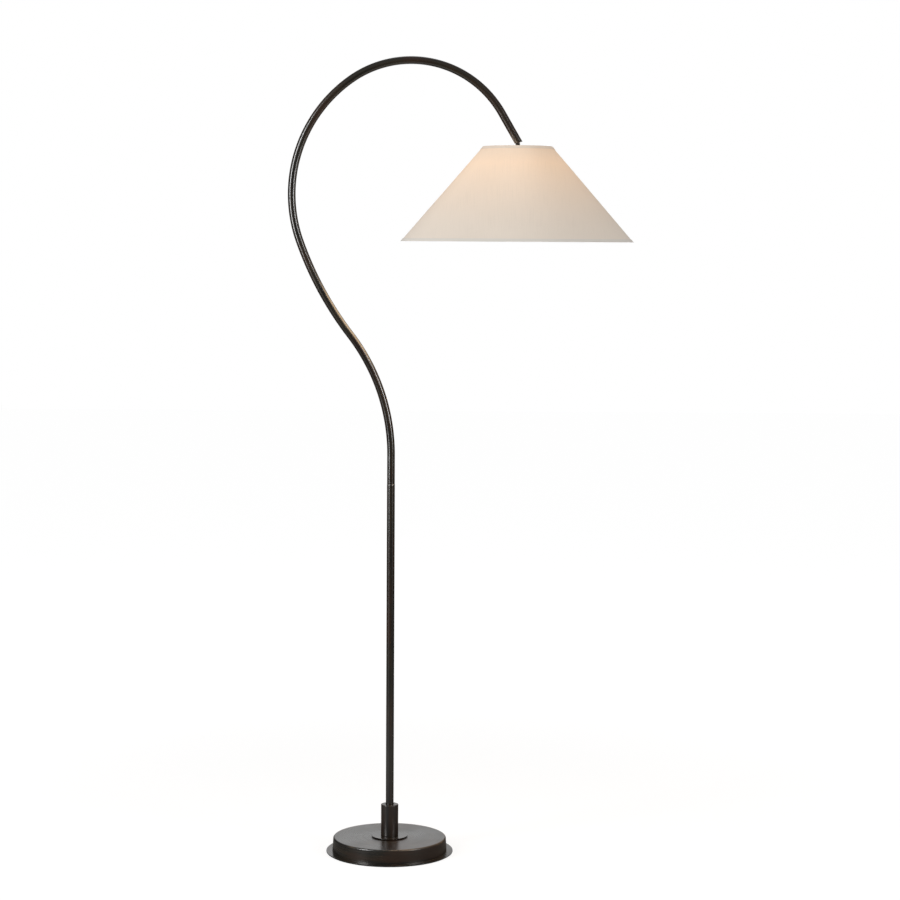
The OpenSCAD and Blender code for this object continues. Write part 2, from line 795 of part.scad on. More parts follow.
module shade_cover() {
    top = shade_top_d / 2;
    bottom = shade_bottom_d / 2;
    color(linen) at_shade(0)
    rotate_extrude()
    polygon([
        [bottom - shade_wall, shade_foot_z], [bottom, shade_foot_z],
        [top, rim_z], [top - shade_wall, rim_z]
    ]);
}

// A tape folded over a rim of the shade. way is 1 on the upper rim and -1 on the lower one
module hem(rim, way) {
    edge = rim - way * hem_h;
    inner = rim + way * slip;
    outer = inner + way * hem_t;
    function outside(z, off) = [shade_r(z) + slip + off, z];
    function inside(z, off) = [shade_r(z) - shade_wall - slip - off, z];
    color(linen) at_shade(0)
    rotate_extrude()
    polygon([
        outside(edge, hem_t), outside(outer, hem_t), inside(outer, hem_t), inside(edge, hem_t),
        inside(edge, 0), inside(inner, 0), outside(inner, 0), outside(edge, 0)
    ]);
}

module shade_top_hem() {
    hem(rim_z, 1);
}

module shade_bottom_hem() {
    hem(shade_foot_z, -1);
}

module shade_bottom_ring() {
    color("white") wire_ring(bottom_ring_z, shade_r(bottom_ring_z) - wire_gap);
}

module holder_lock_washer() {
    color(zinc) at_shade(cap_top_z) ring_of(lock_washer_d / 2, thread_r + loose, lock_washer_t);
}

module cap_outline(inset) {
    dome_r = cap_dome_r - inset;
    outer_r = cap_r - inset;
    intersection() {
        translate([outer_r - dome_r, cap_dome_z]) circle(r = dome_r);
        translate([0, cap_dome_z]) square([outer_r, dome_r]);
    }
    translate([0, cap_dome_z]) square([outer_r - dome_r, dome_r]);
    translate([0, cap_foot_z]) square([outer_r, cap_skirt_h]);
}

// The grub screw's axis runs through the cap's neck towards the back
module across_neck() {
    at_shade(cap_top_z - cap_neck_h / 2) rotate([-90, 0, 0]) children();
}

module holder_cap() {
    color(bronze)
    difference() {
        at_shade(0)
        rotate_extrude()
        difference() {
            union() {
                cap_outline(0);
                translate([0, cap_dome_z]) square([cap_neck_d / 2, cap_top_z - cap_dome_z]);
            }
            cap_outline(cap_sheet);
            translate([0, cap_foot_z - past]) square([cap_r - cap_sheet, 2 * past]);
        }
        at_shade(cap_dome_z) cylinder(r = thread_r + slip, h = cap_dome_r + cap_neck_h + past);
        across_neck() cylinder(d = grub_d + 2 * slip, h = cap_neck_d);
    }
}

module cap_set_screw() {
    grub_start = thread_r + slip;
    grub_end = cap_neck_d / 2 + grub_out;
    color(zinc)
    across_neck()
    difference() {
        translate([0, 0, grub_start]) cylinder(d = grub_d, h = grub_end - grub_start);
        translate([-grub_d, -slot_w / 2, grub_end - slot_depth]) cube([2 * grub_d, slot_w, grub_d]);
    }
}

// The switch's bush comes out through the shell and the liner at the front
module switch_hole(radius) {
    along_front(switch_z) cylinder(r = radius, h = 2 * holder_d);
}

module holder_shell() {
    color(bronze)
    difference() {
        union() {
            at_shade(shell_foot_z) ring_of(holder_r, holder_r - holder_sheet, holder_shell_len);
            at_shade(shell_foot_z + holder_bead_r)
            difference() {
                rotate_extrude() translate([holder_r - holder_sheet, 0]) circle(r = holder_bead_r);
                translate([0, 0, -holder_d / 2]) cylinder(r = holder_r - holder_sheet, h = holder_d);
            }
        }
        switch_hole(switch_bush_d / 2 + slip);
    }
}

module holder_liner() {
    color(black)
    difference() {
        at_shade(shell_foot_z + liner_setback)
            ring_of(liner_r, liner_r - liner_t, holder_shell_len - liner_setback);
        switch_hole(switch_bush_d / 2 + slip);
    }
}

// A notch for a wire screw is cut into each side of the moulded body
module each_side() {
    for (turn = [0, 180]) at_shade(body_top_z - notch_w / 2) rotate([0, 0, turn]) children();
}

module holder_body() {
    color(black)
    difference() {
        at_shade(body_z) cylinder(r = body_r, h = body_h);
        at_shade(body_z - past) cylinder(r = thread_bore_d / 2, h = past + contact_t);
        each_side() translate([notch_x, -notch_w / 2, -notch_w / 2]) cube([body_r, notch_w, body_h]);
        each_side() translate([notch_x - terminal_head_d, 0, 0]) rotate([0, 90, 0])
            cylinder(d = terminal_d + 2 * slip, h = body_r);
        along_front(switch_z) cylinder(r = switch_bush_d / 2 + slip, h = body_r + past);
    }
}

module terminal_screws() {
    color(brass)
    each_side() translate([notch_x, 0, 0]) rotate([0, 90, 0]) {
        cylinder(d = terminal_head_d, h = terminal_head_t);
        translate([0, 0, -terminal_head_d + past]) cylinder(d = terminal_d, h = terminal_head_d);
    }
}

module screw_shell() {
    foot_z = shell_foot_z + screw_shell_setback;
    color(brass) at_shade(foot_z) ring_of(screw_r, screw_r - screw_shell_sheet, body_z - foot_z);
}

// A flat spring: its root lies in the body's foot, and its tongue bends down to the bulb
module centre_contact() {
    bend_x = contact_w / 2;
    foot_z = -contact_drop;
    color(brass)
    at_shade(body_z) rotate([90, 0, 0])
    linear_extrude(contact_w, center = true)
    polygon([
        [-2 * bend_x, 0], [-2 * bend_x, -contact_t], [-bend_x, -contact_t],
        [bend_x - contact_t, foot_z - contact_t], [2 * bend_x, foot_z - contact_t],
        [2 * bend_x, foot_z], [bend_x, foot_z], [contact_t - bend_x, 0]
    ]);
}

module switch_bush() {
    color(brass)
    along_front(switch_z) translate([0, 0, switch_inside])
        ring_of(switch_bush_d / 2, switch_shaft_d / 2 + switch_gap, switch_bush_end - switch_inside);
}

module switch_shaft() {
    color(zinc) along_front(switch_z) translate([0, 0, switch_inside])
        cylinder(d = switch_shaft_d, h = shaft_end - switch_inside);
}

// A round foot on the shaft, and a flat blade with round flanks to turn it by
module switch_knob() {
    blade_z = knob_foot_len - past;
    blade_len = knob_len - blade_z;
    color(black)
    along_front(switch_z)
    difference() {
        translate([0, 0, knob_z]) union() {
            cylinder(d = knob_foot_d, h = knob_foot_len);
            translate([0, 0, blade_z + blade_len / 2])
            rotate([90, 0, 0])
            linear_extrude(knob_t, center = true)
            intersection() {
                square([knob_w, blade_len], center = true);
                circle(d = knob_w);
            }
        }
        cylinder(r = switch_shaft_d / 2 + slip, h = shaft_end + slip);
    }
}

module bulb_cap() {
    color(zinc) at_shade(cap_mouth_z) ring_of(bulb_cap_d / 2, bulb_cap_d / 2 - bulb_cap_sheet, bulb_cap_len);
}

module bulb_insulator() {
    color(black) at_shade(cap_end_z)
        cylinder(d1 = bulb_cap_d - 2 * bulb_cap_sheet, d2 = bulb_insulator_d, h = bulb_insulator_h);
}

module bulb_contact() {
    color(zinc) at_shade(cap_end_z + bulb_insulator_h) cylinder(d = bulb_contact_d, h = bulb_contact_h);
}

// A globe, a cone that touches it, and a neck that goes up into the screw cap
module globe_outline(inset) {
    ball_r = globe_r - inset;
    neck_r = globe_neck_r - inset;
    neck_up = cap_mouth_z - globe_z;
    lean = atan2(neck_up, neck_r) - acos(ball_r / norm([neck_r, neck_up]));
    difference() {
        translate([0, globe_z]) circle(r = ball_r);
        translate([-globe_d, globe_z - globe_d]) square([globe_d, 2 * globe_d]);
    }
    polygon([
        [0, globe_z], [ball_r * cos(lean), globe_z + ball_r * sin(lean)],
        [neck_r, cap_mouth_z], [neck_r, cap_mouth_z + globe_grip], [0, cap_mouth_z + globe_grip]
    ]);
}

module bulb_globe() {
    color("white") at_shade(0)
    rotate_extrude()
    difference() {
        globe_outline(0);
        globe_outline(globe_wall);
        translate([0, cap_mouth_z]) square([globe_neck_r - globe_wall, globe_grip + past]);
    }
}

foot_pad();
bottom_plate();
plate_screws();
base_weight();
base_shell();
cord_grommet();
base_washer();
base_lock_washer();
base_nut();
tie_tube();
check_disc();
collar();
neck_washer();
neck_nut();
stem_foot_bush();
stem_tube();
stem_top_bush();
swivel_ring();
arm_spindle();
stop_pin();
friction_washer();
spindle_nut();
arm_tube();
tip_plug();
tip_nipple();
shade_lock_nut();
shade_frame();
shade_cover();
shade_top_hem();
shade_bottom_hem();
shade_bottom_ring();
holder_lock_washer();
holder_cap();
cap_set_screw();
holder_shell();
holder_liner();
holder_body();
terminal_screws();
screw_shell();
centre_contact();
switch_bush();
switch_shaft();
switch_knob();
bulb_cap();
bulb_insulator();
bulb_contact();
bulb_globe();
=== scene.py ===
"""A bridge floor lamp's visible finish: base, stem, bent arm, linen shade, lampholder and bulb.

Metres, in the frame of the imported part: the origin is on the stem's axis at the floor, +Z up and
+X from the stem towards the shade.
"""

import json
from functools import cache
from math import acos, atan2, cos, hypot, pi, radians, sin, tan

import bmesh
import bpy
from bpy.props import FloatProperty, FloatVectorProperty, IntProperty, PointerProperty
from mathutils import Matrix, Vector, noise


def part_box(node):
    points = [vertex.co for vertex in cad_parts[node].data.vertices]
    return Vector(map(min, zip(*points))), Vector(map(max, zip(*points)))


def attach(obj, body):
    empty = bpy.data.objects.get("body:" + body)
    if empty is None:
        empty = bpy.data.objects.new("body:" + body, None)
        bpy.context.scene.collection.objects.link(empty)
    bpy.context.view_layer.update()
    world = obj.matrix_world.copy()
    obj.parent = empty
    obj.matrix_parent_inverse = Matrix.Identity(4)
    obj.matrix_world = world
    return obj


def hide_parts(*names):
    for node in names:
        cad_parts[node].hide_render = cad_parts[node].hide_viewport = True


bl_info = {
    "name": "Bridge floor lamp",
    "version": (1, 0, 0),
    "blender": (4, 5, 0),
    "location": "View3D > Sidebar > Lamp",
    "description": "Builds the lamp's visible pieces and finishes round its packed frame",
    "category": "Add Mesh",
}

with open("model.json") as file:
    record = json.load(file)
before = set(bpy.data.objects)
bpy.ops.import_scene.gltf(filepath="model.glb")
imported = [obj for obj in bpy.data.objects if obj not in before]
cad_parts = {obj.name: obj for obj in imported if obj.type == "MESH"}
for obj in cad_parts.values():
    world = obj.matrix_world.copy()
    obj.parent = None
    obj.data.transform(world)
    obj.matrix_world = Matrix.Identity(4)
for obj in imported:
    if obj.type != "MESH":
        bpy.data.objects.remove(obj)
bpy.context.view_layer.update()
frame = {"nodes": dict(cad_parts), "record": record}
box_of = cache(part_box)


def low(node):
    return box_of(node)[0]


def high(node):
    return box_of(node)[1]


def radius_of(node):
    """Half the width of a round node."""
    return (high(node).y - low(node).y) / 2


def upright(node):
    """Where a round node starts and ends in height, and its radius."""
    return low(node).z, high(node).z, radius_of(node)


MM = 0.001
STAND, ARM, SWITCH = "stand", "arm", "switch"
SHADE_X = (low("shade_cover").x + high("shade_cover").x) / 2
STREAK = 0.03  # how short a streak is drawn along its length
# a rubbed edge's wear also paints a highlight along that edge
WEAR_AND_GLINT_FADE = 0.6 * MM  # how far a rubbed edge's wear reaches past its arc
END_RING = 1 * MM  # how far inside a tube's end its last ring lies
TIP_REACH = 20 * MM  # how far from the arm's tip its cut may move a point
EASY_FIT = 0.15 * MM  # gap round a tube that passes through a hole
SHARP = radians(40)  # an edge over this angle stays sharp
BULB_NECK = 38 * MM  # how far below the shade's rim its glow is strongest
LINER_SKIN = 2.3  # how deep the liner starts, in thicknesses of the linen
LAP_LIFT = 1.15  # how far the lap is raised, in thicknesses of the linen


# Sizes and colours that a user would change

def length(name, text, millimetres):
    return FloatProperty(
        name=name, description=text, default=millimetres * MM, unit="LENGTH", precision=4)


def turn(name, text, value):
    return FloatProperty(name=name, description=text, default=radians(value), subtype="ANGLE")


def number(name, text, value):
    return FloatProperty(name=name, description=text, default=value)


def colour(name, text, *value):
    return FloatVectorProperty(
        name=name, description=text, default=value, subtype="COLOR", size=3, min=0, max=1)


class LampSizes(bpy.types.PropertyGroup):
    """Sizes of the lamp's visible pieces. Lengths are given here in millimetres"""
    drum_foot_r: length("Drum foot", "Radius of the drum at the flange", 127.5)
    drum_top_r: length("Drum top", "Radius of the drum under its edge", 125.5)
    drum_edge_r: length("Drum edge", "Fillet on the drum's upper edge", 3.6)
    drum_foot_curve: length("Foot curve", "Hollow curve between drum and flange", 0.2)
    base_sheet: length("Base sheet", "Thickness of the spun base", 2.2)
    disc_rim: length("Disc rim", "Width of the disc's raised rim", 9)
    disc_gap: length("Disc gap", "Height of the gap under the disc's rim", 1.8)
    collar_edge: length("Collar edge", "Fillet on the collar's upper edge", 1.3)
    collar_gap: length("Collar gap", "Depth of the gap round the stem", 3)
    tube_wall: length("Tube wall", "Wall of the stem and the arm", 1.25)
    foot_len: length("Arm foot", "Straight length above the seam", 65)
    bend_1_r: length("First radius", "Radius of the first bend", 431)
    bend_1: turn("First bend", "Turn away from the shade", 37.7)
    bend_2_r: length("Second radius", "Radius of the second bend", 734)
    bend_2: turn("Second bend", "Turn back towards the shade", 18.3)
    bend_3_r: length("Third radius", "Radius of the third bend", 305)
    bend_3: turn("Third bend", "Turn up the side of the arc", 74.3)
    bend_4_r: length("Fourth radius", "Radius of the last bend", 227.5)
    bend_4: turn("Fourth bend", "Turn over the top of the arc", 95)
    tip_len: length("Arm tip", "Straight length at the tip", 73)
    tip_mitre: turn("Tip mitre", "How much flatter than square the tip is cut", 15)
    thread_pitch: length("Lamp thread", "Pitch of the threaded tube", 1)
    thread_depth: length("Thread depth", "Depth of that thread", 0.45)
    nut_flats: length("Nut", "Width across the flats of the lock nut", 14)
    shade_top_r: length("Shade top", "Radius of the shade's upper rim", 76)
    shade_foot_r: length("Shade foot", "Radius of the shade's lower rim", 254)
    linen_t: length("Linen", "Thickness of the linen", 0.4)
    liner_t: length("Liner", "Thickness of the stiff liner", 0.45)
    lap: length("Lap", "Width of the glued lap at the back", 10)
    thread_of_linen: length("Thread", "Distance between two threads of the linen", 0.75)
    wire_r: length("Wire", "Radius of the wires of the frame", 1.5)
    frame_arms: IntProperty(name="Arms", description="Arms of the shade's frame", default=3, min=3)
    knob_ribs: IntProperty(name="Ribs", description="Ribs on each face of the knob", default=5, min=1)
    cap_pitch: length("Cap thread", "Pitch of the bulb's screw cap", 3.6)


class LampColours(bpy.types.PropertyGroup):
    """Colours of the lamp's finishes"""
    bronze_dark: colour("Bronze, dark", "Dark streaks of the patina", 0.0060, 0.0054, 0.0044)
    bronze_olive: colour("Bronze, olive", "Olive streaks of the patina", 0.0150, 0.0125, 0.0070)
    bronze_red: colour("Bronze, red", "Red-brown patches of the patina", 0.0240, 0.0105, 0.0055)
    bronze_dry: colour("Bronze, dry", "Dry threads of the patina", 0.036, 0.022, 0.013)
    # also the colour of the painted highlight along rounded edges
    bronze_rubbed_glint: colour("Bronze, rubbed", "Metal at rubbed edges", 0.36, 0.26, 0.16)
    linen: colour("Linen", "Off-white thread", 0.66, 0.60, 0.53)
    tape: colour("Tape", "Off-white tape on the rims", 0.60, 0.575, 0.535)
    # the colour of the painted glow on the linen
    glow: colour("Glow", "Lamplight through the linen", 1.0, 0.43, 0.03)
    # also tints the painted glow of the liner
    lamplight: colour("Lamplight", "Light that has passed the cloth", 1.0, 0.72, 0.44)
    bulb_white: colour("Bulb", "Light straight from the bulb", 1.0, 0.83, 0.68)
    brass: colour("Brass", "Turned brass", 0.62, 0.43, 0.19)


class LampStudio(bpy.types.PropertyGroup):
    """The camera and the lamps round the lamp"""
    eye: FloatVectorProperty(
        name="Camera", description="Where the camera stands", default=(0.1297, -5.2827, 1.3584),
        subtype="TRANSLATION", unit="LENGTH")
    pitch: turn("Pitch", "How far the camera looks down", 4.957)
    roll: turn("Roll", "How far the picture leans clockwise", 0.343)
    lens: number("Lens", "Focal length in millimetres on a 36 mm sensor", 96.37)
    key: number("Key", "Power of the soft lamp at the left", 118)
    fill: number("Fill", "Power of the soft lamp at the right", 52)
    low: number("Low", "Power of each dim lamp under a soft lamp", 1.0)
    bulb: number("Bulb", "Power of the lamp's own bulb", 1.3)
    mouth: number("Mouth", "Power of the light that leaves the shade downwards", 4.4)
    crown: number("Crown", "Power of the light that leaves the shade upwards", 0.03)


def lamp_sizes():
    return bpy.context.scene.lamp_sizes


def lamp_colours():
    return bpy.context.scene.lamp_colours


def lamp_studio():
    return bpy.context.scene.lamp_studio


# Node trees are written as sums and calls

def plug(sockets, key):
    """A node's socket by its place, identifier or name."""
    if isinstance(key, int):
        return sockets[key]
    return next(s for s in sockets if key in (s.identifier, s.name))


class Socket:
    """A node's output. Sums and products of it add Math nodes."""

    def __init__(self, wiring, socket):
        self.wiring = wiring
        self.socket = socket

    def __add__(self, other):
        return self.wiring.math("ADD", self, other)

    def __sub__(self, other):
        return self.wiring.math("SUBTRACT", self, other)

    def __rsub__(self, other):
        return self.wiring.math("SUBTRACT", other, self)

    def __mul__(self, other):
        return self.wiring.math("MULTIPLY", self, other)

    def __truediv__(self, other):
        return self.wiring.math("DIVIDE", self, other)

    def __abs__(self):
        return self.wiring.math("ABSOLUTE", self)

    __radd__ = __add__
    __rmul__ = __mul__


class Wiring:
    """A node tree under construction."""

    def __init__(self, tree):
        self.tree = tree

    def node(self, kind, settings=None, sockets=None, output=0):
        """Adds a node, makes its settings, feeds its sockets and returns one of its outputs."""
        made = self.tree.nodes.new(kind)
        for key, value in (settings or {}).items():
            setattr(made, key, value)
        for key, value in (sockets or {}).items():
            target = plug(made.inputs, key)
            if isinstance(value, Socket):
                self.tree.links.new(value.socket, target)
            else:
                target.default_value = (*value, 1.0) if target.type == "RGBA" else value
        return Socket(self, plug(made.outputs, output)) if made.outputs else made

    def math(self, operation, *terms):
        return self.node("ShaderNodeMath", {"operation": operation}, dict(enumerate(terms)))

    def parts(self, vector):
        """The X, Y and Z of a vector."""
        split = self.node("ShaderNodeSeparateXYZ", {}, {0: vector}).socket.node
        return [Socket(self, out) for out in split.outputs]

    def vector(self, x, y, z):
        return self.node("ShaderNodeCombineXYZ", {}, {0: x, 1: y, 2: z})

    def ease(self, value, start, end, low=0.0, high=1.0):
        """low before start, high after end, and smooth between."""
        return self.node(
            "ShaderNodeMapRange", {"interpolation_type": "SMOOTHSTEP"},
            {"Value": value, "From Min": start, "From Max": end, "To Min": low, "To Max": high})

    def ray(self, kind):
        """1 on rays of one kind, and 0 on others."""
        return self.node("ShaderNodeLightPath", output=f"Is {kind} Ray")


class Finish(Wiring):
    """A material whose shader is wired here."""

    def __init__(self, name):
        self.material = bpy.data.materials.new(name)
        self.material.use_nodes = True
        super().__init__(self.material.node_tree)
        self.tree.nodes.clear()
        self.place = self.node("ShaderNodeTexCoord", output="Object")

    def attribute(self, name, output="Vector"):
        return self.node("ShaderNodeAttribute", {"attribute_name": name}, output=output)

    def noise(self, scale, detail=2.0, rough=0.5, place=None):
        return self.node("ShaderNodeTexNoise", {}, {
            "Vector": place or self.place, "Scale": scale, "Detail": detail, "Roughness": rough})

    def mix(self, share, first, second):
        """first where share is 0 and second where it is 1, as colours."""
        return self.node(
            "ShaderNodeMix", {"data_type": "RGBA"},
            {"Factor_Float": share, "A_Color": first, "B_Color": second}, "Result_Color")

    def tinted(self, tint, strength):
        """A colour times a socket, through Vector Math."""
        return self.node(
            "ShaderNodeVectorMath", {"operation": "SCALE"}, {0: tuple(tint), "Scale": strength})

    def bump(self, height, depth):
        return self.node("ShaderNodeBump", {}, {"Height": height, "Distance": depth}, "Normal")

    def surface(self, **sockets):
        """Ends the tree in a Principled shader; socket names are written with underscores."""
        fed = {key.replace("_", " "): value for key, value in sockets.items()}
        return self.end(self.node("ShaderNodeBsdfPrincipled", {}, fed))

    def end(self, shader):
        self.node("ShaderNodeOutputMaterial", {}, {"Surface": shader})
        return self.material


class Shaper(Wiring):
    """A Geometry Nodes tree with named sizes."""

    def __init__(self, name, **sizes):
        super().__init__(bpy.data.node_groups.new(name, "GeometryNodeTree"))
        kinds = {float: "NodeSocketFloat", int: "NodeSocketInt"}
        face = self.tree.interface
        face.new_socket("Geometry", in_out="INPUT", socket_type="NodeSocketGeometry")
        self.sizes = {
            face.new_socket(key, in_out="INPUT", socket_type=kinds[type(value)]).identifier: value
            for key, value in sizes.items()}
        face.new_socket("Geometry", in_out="OUTPUT", socket_type="NodeSocketGeometry")
        self.start = self.node("NodeGroupInput").socket.node

    def given(self, name):
        return Socket(self, self.start.outputs[name])

    def join(self, *shapes):
        made = self.node("GeometryNodeJoinGeometry")
        for shape in shapes:
            self.tree.links.new(shape.socket, made.socket.node.inputs[0])
        return made

    def skins(self, outer, inner):
        """An outer skin joined with an inner one that is turned inside out."""
        return self.join(outer, self.node("GeometryNodeFlipFaces", {}, {0: inner}))

    def spot(self):
        return self.node("GeometryNodeInputPosition")

    def moved(self, shape, place):
        return self.node("GeometryNodeSetPosition", {}, {"Geometry": shape, "Position": place})

    def store(self, shape, name, kind, value):
        return self.node(
            "GeometryNodeStoreNamedAttribute", {"data_type": kind, "domain": "POINT"},
            {"Geometry": shape, "Name": name, "Value": value})

    def stored(self, name, kind):
        return self.node("GeometryNodeInputNamedAttribute", {"data_type": kind}, {"Name": name})

    def ring(self, sides, radius):
        return self.node(
            "GeometryNodeCurvePrimitiveCircle", {}, {"Resolution": sides, "Radius": radius}, "Curve")

    def line(self, start, end):
        return self.node("GeometryNodeCurvePrimitiveLine", {}, {"Start": start, "End": end})

    def sweep(self, line, ring, capped=True):
        return self.node(
            "GeometryNodeCurveToMesh", {},
            {"Curve": line, "Profile Curve": ring, "Fill Caps": capped})

    def row(self, count, start, offset):
        return self.node(
            "GeometryNodeMeshLine", {},
            {"Count": count, "Start Location": start, "Offset": offset})

    def copies(self, spots, shape, **more):
        return self.node(
            "GeometryNodeInstanceOnPoints", {}, {"Points": spots, "Instance": shape, **more})

    def make(self, name, shape, finish_name, source=None):
        """Ends the tree in Realize Instances and Set Material and returns its result as a plain mesh."""
        whole = self.node("GeometryNodeRealizeInstances", {}, {"Geometry": shape})
        painted = self.node(
            "GeometryNodeSetMaterial", {}, {"Geometry": whole, "Material": finish(finish_name)})
        self.node("NodeGroupOutput", {}, {"Geometry": painted})
        holder = source or new_object(name + "_source", bpy.data.meshes.new(name + "_source"))
        modifier = holder.modifiers.new(name, "NODES")
        modifier.node_group = self.tree
        for key, value in self.sizes.items():
            modifier[key] = value
        mesh = evaluated(holder)
        mesh.name = name
        holder.modifiers.remove(modifier)
        bpy.data.objects.remove(holder)
        return new_object(name, mesh)


# Meshes

def new_object(name, data):
    made = bpy.data.objects.new(name, data)
    bpy.context.scene.collection.objects.link(made)
    return made


def evaluated(made):
    """A plain mesh of a piece with its modifiers applied."""
    seen = bpy.context.evaluated_depsgraph_get()
    seen.update()
    return bpy.data.meshes.new_from_object(made.evaluated_get(seen), depsgraph=seen)


def mark(mesh, streaks, wears_and_glints):
    """Stores what the bronze reads on each point: its place along the streaks, and its wear, which also
    paints a highlight along rounded edges.
    """
    flat = [part for streak in streaks for part in streak]
    mesh.attributes.new("streak", "FLOAT_VECTOR", "POINT").data.foreach_set("vector", flat)
    mesh.attributes.new("wear", "FLOAT", "POINT").data.foreach_set("value", wears_and_glints)


def outline(corners, steps):
    """Points (radius, height, wear) along corners (radius, height, fillet, wear), with arcs.

    A corner may leave its wear out, or both its fillet and its wear. An arc is worn most in its
    middle, and its wear ends at a further point just beyond it, which also keeps the long side flat.
    This wear is rubbed metal and also a painted highlight along the crest of a rounded edge.
    """
    corners = [(*corner, 0, 0)[:4] for corner in corners]
    points = []
    for i, (r, z, fillet, wear) in enumerate(corners):
        if not fillet:
            points.append((r, z, wear))
            continue
        here = Vector((r, z))
        before = Vector(corners[i - 1][:2]) - here
        after = Vector(corners[(i + 1) % len(corners)][:2]) - here
        back, on = before.normalized(), after.normalized()
        half = acos(max(-1.0, min(1.0, back.dot(on)))) / 2
        centre = here + (back + on).normalized() * fillet / sin(half)
        first = here + back * fillet / tan(half) - centre
        last = here + on * fillet / tan(half) - centre
        start = atan2(first.y, first.x)
        sweep = (atan2(last.y, last.x) - start + pi) % (2 * pi) - pi
        run = fillet / tan(half) + WEAR_AND_GLINT_FADE
        if before.length > 2 * (run + WEAR_AND_GLINT_FADE):
            points.append((*(here + back * run), 0))
        for step in range(steps + 1):
            angle = start + sweep * step / steps
            # rubbed metal and the painted highlight both peak at the arc's middle
            rubbed = wear * sin(pi * (step + 0.5) / (steps + 1))
            points.append((centre.x + fillet * cos(angle), centre.y + fillet * sin(angle), rubbed))
        if after.length > 2 * (run + WEAR_AND_GLINT_FADE):
            points.append((*(here + on * run), 0))
    return points


def turned(name, corners, x=0.0, sides=128, steps=5, spun=False, closed=False):
    """Spins an outline about the vertical axis at x. A closed outline gives a ring."""
    points = outline(corners, steps)
    vertices, streaks, wears_and_glints, rows = [], [], [], []
    run = 0.0
    for i, (r, z, wear) in enumerate(points):
        run += hypot(r - points[i - 1][0], z - points[i - 1][1]) if i else 0.0
        count = 1 if r < 1e-6 else sides
        rows.append(range(len(vertices), len(vertices) + count))
        for k in range(count):
            across = r * cos(2 * pi * k / sides)
            deep = r * sin(2 * pi * k / sides)
            vertices.append((x + across, deep, z))
            streaks.append(
                (run, STREAK * across, STREAK * deep) if spun else (across, deep, STREAK * z))
            wears_and_glints.append(wear)
    faces = []
    pairs = list(zip(rows, rows[1:])) + ([(rows[-1], rows[0])] if closed else [])
    for lower, upper in pairs:
        for k in range(sides):
            ring = [
                lower[k % len(lower)], lower[(k + 1) % len(lower)],
                upper[(k + 1) % len(upper)], upper[k % len(upper)]]
            faces.append(list(dict.fromkeys(ring)))
    made = shell(name, vertices, [f for f in faces if len(f) > 2])
    mark(made.data, streaks, wears_and_glints)
    return made


def shell(name, vertices, faces, outward=True):
    """A smooth piece with sharp edges kept."""
    mesh = bpy.data.meshes.new(name)
    mesh.from_pydata(vertices, [], faces)
    made = new_object(name, mesh)
    tidy(made, outward)
    return made


def tidy(made, outward=True):
    """Faces point outwards, and sharp edges stay sharp."""
    if outward:
        worked = bmesh.new()
        worked.from_mesh(made.data)
        bmesh.ops.recalc_face_normals(worked, faces=worked.faces)
        worked.to_mesh(made.data)
        worked.free()
    made.data.shade_smooth()
    made.data.set_sharp_from_angle(angle=SHARP)


def join_ends(made, spots):
    """Closes a two-skinned tube with a flat ring at each of its ends, near these spots."""
    worked = bmesh.new()
    worked.from_mesh(made.data)
    bmesh.ops.remove_doubles(worked, verts=worked.verts, dist=1e-6)
    for spot in spots:
        rim = [
            e for e in worked.edges if e.is_boundary
            and min((e.verts[0].co - s).length for s in spots) == (e.verts[0].co - spot).length]
        bmesh.ops.bridge_loops(worked, edges=rim)
    worked.to_mesh(made.data)
    worked.free()
    tidy(made)


def merged(name, pieces):
    """Several meshes as one piece."""
    worked = bmesh.new()
    for piece in pieces:
        worked.from_mesh(piece.data)
        bpy.data.objects.remove(piece)
    made = new_object(name, bpy.data.meshes.new(name))
    worked.to_mesh(made.data)
    worked.free()
    tidy(made, outward=False)
    return made


def soften(made, width, steps=2):
    """A small bevel on a piece's sharp edges, applied."""
    bevel = made.modifiers.new("soften", "BEVEL")
    bevel.width = width
    bevel.segments = steps
    bevel.limit_method = "ANGLE"
    bevel.angle_limit = SHARP
    return applied(made)


def applied(made):
    """Turns a piece's modifiers into mesh."""
    old = made.data
    made.data = evaluated(made)
    made.modifiers.clear()
    bpy.data.meshes.remove(old)
    tidy(made)
    return made


def fit(piece, body, slot, finish_name, *nodes):
    """Gives a finished piece its material and its body, and hides the imported nodes that it stands for.
    Its slot is not used.
    """
    piece.data.materials.clear()
    piece.data.materials.append(finish(finish_name))
    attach(piece, body)
    if nodes:
        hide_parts(*nodes)
    return piece


def paint(finish_name, *nodes):
    """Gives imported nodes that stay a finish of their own."""
    for node in nodes:
        frame["nodes"][node].data.materials.clear()
        frame["nodes"][node].data.materials.append(finish(finish_name))


# Finishes

def darker(shade, share):
    return tuple(share * part for part in shade)


